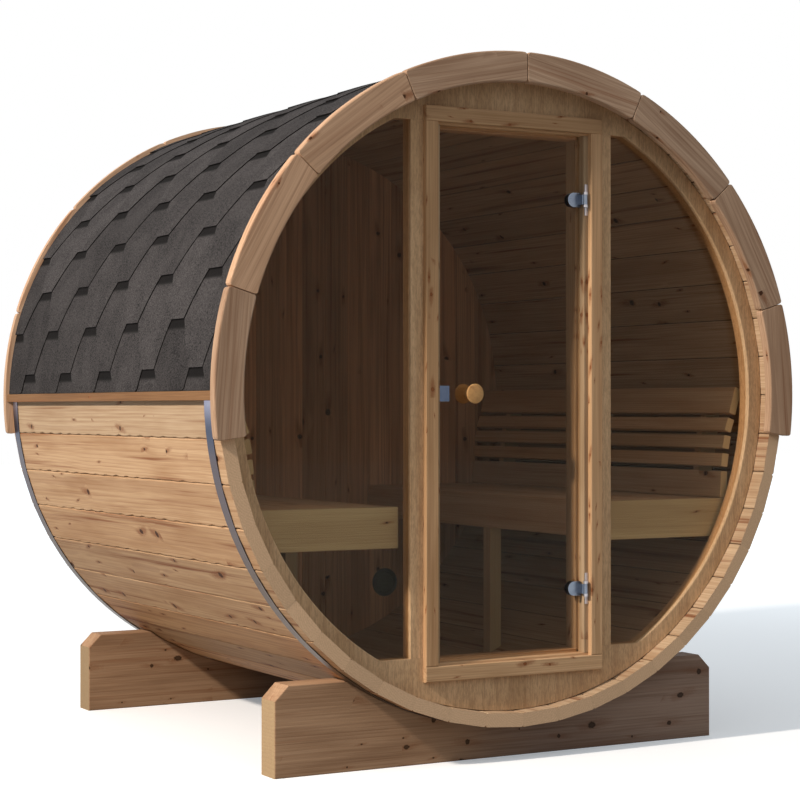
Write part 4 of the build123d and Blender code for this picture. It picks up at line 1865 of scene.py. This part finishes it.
@dataclass
class DoorLeaf:
    """What swings: knobs and latch on the pane, and the hinge clamps."""

    setting: Setting
    glass_front: float = 0.071
    glass_back: float = 0.079
    knob_u: float = -0.143
    knob_profile: tuple[Point2, ...] = (
        (0.0175, 0.0), (0.0190, 0.0015), (0.0200, 0.0060), (0.0225, 0.0160), (0.0262, 0.0240),
        (0.0294, 0.0285), (0.0298, 0.0302), (0.0286, 0.0320), (0.0260, 0.0330),
        (0.0040, 0.0330),
    )
    spindle: float = 0.005
    spindle_end: float = 0.001

    def build(self) -> None:
        """Builds the knobs and dresses the steel and the pane."""
        self._knobs()
        self.setting.dress("latch_plate", "latch_steel")
        self.setting.dress("hinge_clamps", "fitting_steel")
        self.setting.dress("door_glass", "tinted_glass")

    def _knobs(self) -> None:
        """Builds the turned knobs, one each side of the pane."""
        piece = Workpiece("door_knob_pair", 111)
        place = self.setting.across(self.knob_u, 0)
        for face, out in ((self.glass_front, -1), (self.glass_back, 1)):
            piece.turned([(radius, face + out * along) for radius, along in self.knob_profile],
                         place, 48)
        piece.turned([(self.spindle, self.glass_front - self.spindle_end),
                      (self.spindle, self.glass_back + self.spindle_end)], place, 24)
        self.setting.mount(piece, "knob_wood", "door_knobs", body=DOOR)


@dataclass
class Glazing:
    """The fixed panes and the steel on the frame, which keep the frame's own shape."""

    setting: Setting

    def build(self) -> None:
        """Dresses the panes and the hinge plates."""
        for node in ("window_left", "window_right"):
            self.setting.dress(node, "tinted_glass")
        self.setting.dress("hinge_plates", "plate_steel")


# ---- interior ----


@dataclass
class Benches:
    """A bench on each side: planks, fascia, end boards and a leg."""

    setting: Setting
    top: float = BENCH_TOP
    front: float = 0.368
    board: float = BENCH_BOARD
    planks: int = 4
    gap: float = 0.008
    fascia: float = 0.117
    end_board: float = 0.122
    start: float = BENCH_START
    end: float = BENCH_END
    wall_radius: float = BENCH_RADIUS
    wall_gap: float = 0.006
    leg: float = 0.045
    leg_middle: float = 0.797
    arris: float = 0.002

    def build(self) -> None:
        """Builds both benches."""
        start = self.start + self.board
        outer = half_chord(self.wall_radius, self.top - self.board) - self.wall_gap
        width = (outer - self.front - self.board - self.planks * self.gap) / self.planks
        fascias = Workpiece("bench_fascia_boards", 121)
        ends = Workpiece("bench_end_boards", 122)
        legs = Workpiece("bench_leg_posts", 123)
        for side in Side:
            planks = Workpiece(f"bench_planks_{side.hand}", 125 + side)
            for k in range(self.planks):
                inner = self.front + self.board + self.gap + k * (width + self.gap)
                place = self.setting.across(side * (inner + width / 2),
                                            self.top - self.board / 2)
                planks.beam(place, width, self.board, start, self.end)
            self.setting.mount(planks, "bench_wood", f"bench_top_{side.hand}")
            place = self.setting.across(side * (self.front + self.board / 2),
                                        self.top - self.fascia / 2)
            fascias.beam(place, self.board, self.fascia, start, self.end)
            self._end_board(ends, side, self.start, 0.0)
            self._end_board(ends, side, self.end - self.board, self.board)
            self._leg(legs, side)
        self.setting.mount(fascias, "bench_wood", "bench_fascias")
        self.setting.mount(ends, "bench_wood", "bench_ends", finish="bench_end_boards")
        self.setting.mount(legs, "bench_wood", "bench_legs")

    def _end_board(self, piece: Workpiece, side: Side, start: float, tucked: float) -> None:
        """Adds an end board shaped to the round wall.

        Args:
            piece: The end boards.
            side: Side of the aisle.
            start: Where it starts behind the stave ends.
            tucked: How far it lies under the planks and behind the fascia.
        """
        radius = self.wall_radius - self.wall_gap
        inner, top, low = self.front + tucked, self.top - tucked, self.top - self.end_board
        outline = [(inner, top), (inner, low)]
        outline += arc(radius, rise_angle(low, radius), rise_angle(top, radius))
        piece.plate(mirrored(outline, side), self.setting.section(), start, start + self.board,
                    Grain.ALONG_U, self.arris, self.arris)

    def _leg(self, piece: Workpiece, side: Side) -> None:
        """Adds a leg that stands on the staves.

        Args:
            piece: The legs.
            side: Side of the aisle.
        """
        top, near, far = self.top - self.fascia, self.front, self.front + self.leg
        outline = [(near, -half_chord(self.wall_radius, near)),
                   (far, -half_chord(self.wall_radius, far)), (far, top), (near, top)]
        start = self.leg_middle - self.leg / 2
        piece.plate(mirrored(outline, side), self.setting.section(), start, start + self.leg,
                    Grain.ALONG_V, self.arris, self.arris)


@dataclass
class Backrests:
    """Slatted backrests on uprights along both sides.

    Each slat is its rise over the bench, its width, its gap to the wall and its lean in degrees.
    """

    setting: Setting
    bench_top: float = BENCH_TOP
    thickness: float = BENCH_BOARD
    start: float = BENCH_START
    end: float = BENCH_END
    wall_radius: float = BENCH_RADIUS
    arris: float = 0.003
    support: float = 0.030
    setback: float = 0.150
    support_gap: float = 0.004
    slats: tuple[tuple[float, float, float, float], ...] = (
        (0.362, 0.088, 0.058, 17.0),
        (0.263, 0.044, 0.085, 20.0),
        (0.206, 0.043, 0.094, 12.0),
        (0.147, 0.043, 0.093, 8.0),
        (0.088, 0.086, 0.085, 3.0),
    )

    def build(self) -> None:
        """Builds both backrests."""
        for side in Side:
            piece = Workpiece(f"backrest_slats_{side.hand}", 131 + side)
            backs: list[Point2] = []
            for slat in self.slats:
                backs += self._slat(piece, side, slat)
            self._supports(piece, side, backs)
            self.setting.mount(piece, "bench_wood", f"backrest_{side.hand}")

    def _slat(self, piece: Workpiece, side: Side,
              slat: tuple[float, float, float, float]) -> list[Point2]:
        """Adds one slat.

        Args:
            piece: The backrest.
            side: Side of the aisle.
            slat: Its rise, width, gap to the wall and lean.

        Returns:
            The two corners of its back.
        """
        rise, width, gap, lean = slat
        top = self.bench_top + rise
        distance = half_chord(self.wall_radius, top) - gap
        across, up = math.cos(math.radians(lean)), math.sin(math.radians(lean))
        corners = [(distance, top), (distance - width * up, top - width * across)]
        corners += [(u + self.thickness * across, v - self.thickness * up)
                    for u, v in reversed(corners)]
        middle_u, middle_v = (sum(values) / 4 for values in zip(*corners))
        section = mirrored([(u - middle_u, v - middle_v) for u, v in corners], side)
        piece.bar(rounded(section, self.arris), self.setting.across(side * middle_u, middle_v),
                  self.start, self.end)
        return [corners[3], corners[2]]

    def _supports(self, piece: Workpiece, side: Side, backs: Sequence[Point2]) -> None:
        """Adds the uprights between the slats and the staves.

        Args:
            piece: The backrest.
            side: Side of the aisle.
            backs: Corners of the slats' backs, from the top down.
        """
        radius = self.wall_radius - self.support_gap
        wall = arc(radius, *(rise_angle(backs[k][1], radius) for k in (-1, 0)))
        outline = mirrored([*backs, *wall], side)
        for depth in (self.start + self.setback, (self.start + self.end - self.support) / 2,
                      self.end - self.setback - self.support):
            piece.plate(outline, self.setting.section(), depth, depth + self.support,
                        Grain.ALONG_V, 0.0, 0.0)


# ---- cradles ----


@dataclass
class Cradles:
    """Two thick boards with a round saddle, on which the barrel lies.

    Each board is its name, seed, distance behind the stave ends and lightness.
    """

    setting: Setting
    half_width: float = 0.780
    height: float = 0.264
    thickness: float = 0.090
    chamfer: float = 0.043
    saddle: float = 1.0003
    boards: tuple[tuple[str, int, float, float], ...] = (
        ("front", 141, 0.096, 0.45),
        ("rear", 142, 1.582, -0.40),
    )
    warmth: float = 0.45
    arris: float = 0.003

    def build(self) -> None:
        """Builds both cradles."""
        low = -self.setting.axis_height
        top = low + self.height
        turn = rise_angle(top, self.saddle)
        end = [(self.half_width, low), (self.half_width, top - self.chamfer),
               (self.half_width - self.chamfer, top)]
        outline = [*end, *arc(self.saddle, turn, -180 - turn), *mirrored(end, Side.LEFT)]
        for name, seed, depth, light in self.boards:
            piece = Workpiece(f"cradle_board_{name}", seed)
            tone = Vector((light, piece.random.random(), self.warmth))
            piece.plate(outline, self.setting.section(), depth, depth + self.thickness,
                        Grain.ALONG_U, self.arris, self.arris, tone=tone)
            self.setting.mount(piece, "cradle_wood", f"cradle_{name}")


# ---- studio ----


@dataclass
class Studio:
    """Camera, lamp, surroundings and floor."""

    scene: bpy.types.Scene
    camera_place: Point3 = (-3.2722, -5.9267, 1.0575)
    camera_turn: float = 29.44
    camera_rise: float = 0.245
    lens: float = 89.95
    sensor: float = 36.0
    key_target: Point3 = (0.0, -0.4, 1.1)
    key_direction: Point3 = (0.850, 0.150, -0.505)
    key_distance: float = 9.0
    key_size: float = 0.45
    key_power: float = 900.0
    key_colour: Point3 = (1.0, 0.90, 0.79)
    background: Colour = (1.0, 1.0, 1.0, 1.0)
    fill_colour: Colour = (0.94, 0.97, 1.0, 1.0)
    fill_low: float = 0.36
    fill_high: float = 0.58
    fill_rise: float = 0.6
    floor_size: float = 60.0
    floor_colour: Colour = (0.26, 0.25, 0.24, 1.0)
    floor_shown: Colour = (0.92, 0.92, 0.92, 1.0)
    glow_colour: Colour = (0.82, 0.92, 1.0, 1.0)
    glow_reach: Point2 = (2.0, 9.0)
    glow: Point2 = (0.26, 0.85)

    def build(self) -> None:
        """Sets up the whole studio."""
        self.scene.view_settings.view_transform = "Standard"
        self._camera()
        self._key()
        self._surroundings()
        self._floor()
        log.info("studio: camera, key lamp, surroundings and floor")

    def _aim(self, data: bpy.types.ID, place: Sequence[float],
             ahead: Vector) -> bpy.types.Object:
        """Puts a camera or lamp in the scene.

        Args:
            data: The camera or lamp.
            place: Where it stands.
            ahead: Which way it looks.

        Returns:
            The object.
        """
        thing = bpy.data.objects.new(data.name, data)
        thing.location = place
        thing.rotation_euler = ahead.to_track_quat("-Z", "Y").to_euler()
        self.scene.collection.objects.link(thing)
        return thing

    def _camera(self) -> None:
        """Puts the camera in front, a little to the left."""
        data = bpy.data.cameras.new("camera")
        data.lens = self.lens
        data.sensor_width = self.sensor
        turn, rise = math.radians(self.camera_turn), math.radians(self.camera_rise)
        ahead = Vector((math.sin(turn) * math.cos(rise), math.cos(turn) * math.cos(rise),
                        math.sin(rise)))
        self.scene.camera = self._aim(data, self.camera_place, ahead)

    def _key(self) -> None:
        """Hangs the key lamp high on the left."""
        data = bpy.data.lights.new("key", "AREA")
        data.shape = "DISK"
        data.size = self.key_size
        data.energy = self.key_power
        data.color = self.key_colour
        ahead = Vector(self.key_direction).normalized()
        self._aim(data, Vector(self.key_target) - ahead * self.key_distance, ahead)

    def _surroundings(self) -> None:
        """Makes a white background with a soft even fill."""
        s = Shader(bpy.data.worlds.new("surroundings"), "ShaderNodeOutputWorld")
        _, _, z = s.split(s.node("ShaderNodeTexCoord").outputs["Generated"])
        strength = s.step(z, 0.0, self.fill_rise, self.fill_low, self.fill_high)
        fill = s.node("ShaderNodeBackground", (self.fill_colour, strength))
        seen = s.node("ShaderNodeBackground", (self.background, 1.0))
        self.scene.world = s.done(s.mixed(s.shown(), fill.outputs[0], seen.outputs[0]))

    def _floor(self) -> None:
        """Lays the pale floor, which keeps the shadow."""
        half = self.floor_size / 2
        mesh = bpy.data.meshes.new("floor")
        mesh.from_pydata([(x, y, 0) for x, y in rectangle(-half, half, -half, half)], [],
                         [(0, 1, 2, 3)])
        floor = bpy.data.objects.new("floor", mesh)
        self.scene.collection.objects.link(floor)
        s = Shader.paint("floor_paint")
        plain = s.node("ShaderNodeBsdfDiffuse", (self.floor_colour,))
        bright = s.node("ShaderNodeBsdfDiffuse", (self.floor_shown,))
        x, y, _ = s.split(s.place())
        strength = s.step(s.length(x, y), *self.glow_reach, *self.glow)
        glow = s.node("ShaderNodeEmission", (self.glow_colour, strength))
        lit = s.node("ShaderNodeAddShader", (bright.outputs[0], glow.outputs[0]))
        mesh.materials.append(s.done(s.mixed(s.shown(), plain.outputs[0], lit.outputs[0])))
        floor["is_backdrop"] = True


def corners(box: tuple[Vector, Vector]) -> list[list[float]]:
    """A box as plain lists of numbers."""
    return [list(corner) for corner in box]


def main() -> None:
    """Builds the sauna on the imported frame, then the studio round it."""
    logging.basicConfig(level=logging.INFO, format="%(message)s")
    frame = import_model()
    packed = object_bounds()
    low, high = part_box("stave_panel_01")
    setting = Setting(Finishes(), frame["nodes"], low.z, low.y, high.y - low.y)
    for assembly in (Barrel, TrimRings, Hoops, ShingleRoof, RoofBattens, FrontWall, BackWall,
                     Vent, DoorFrame, DoorLeaf, Glazing, Benches, Backrests, Cradles):
        assembly(setting).build()
    Studio(bpy.context.scene).build()
    {"packed": corners(packed), "visual": corners(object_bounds())}


if __name__ == "__main__":
    main()
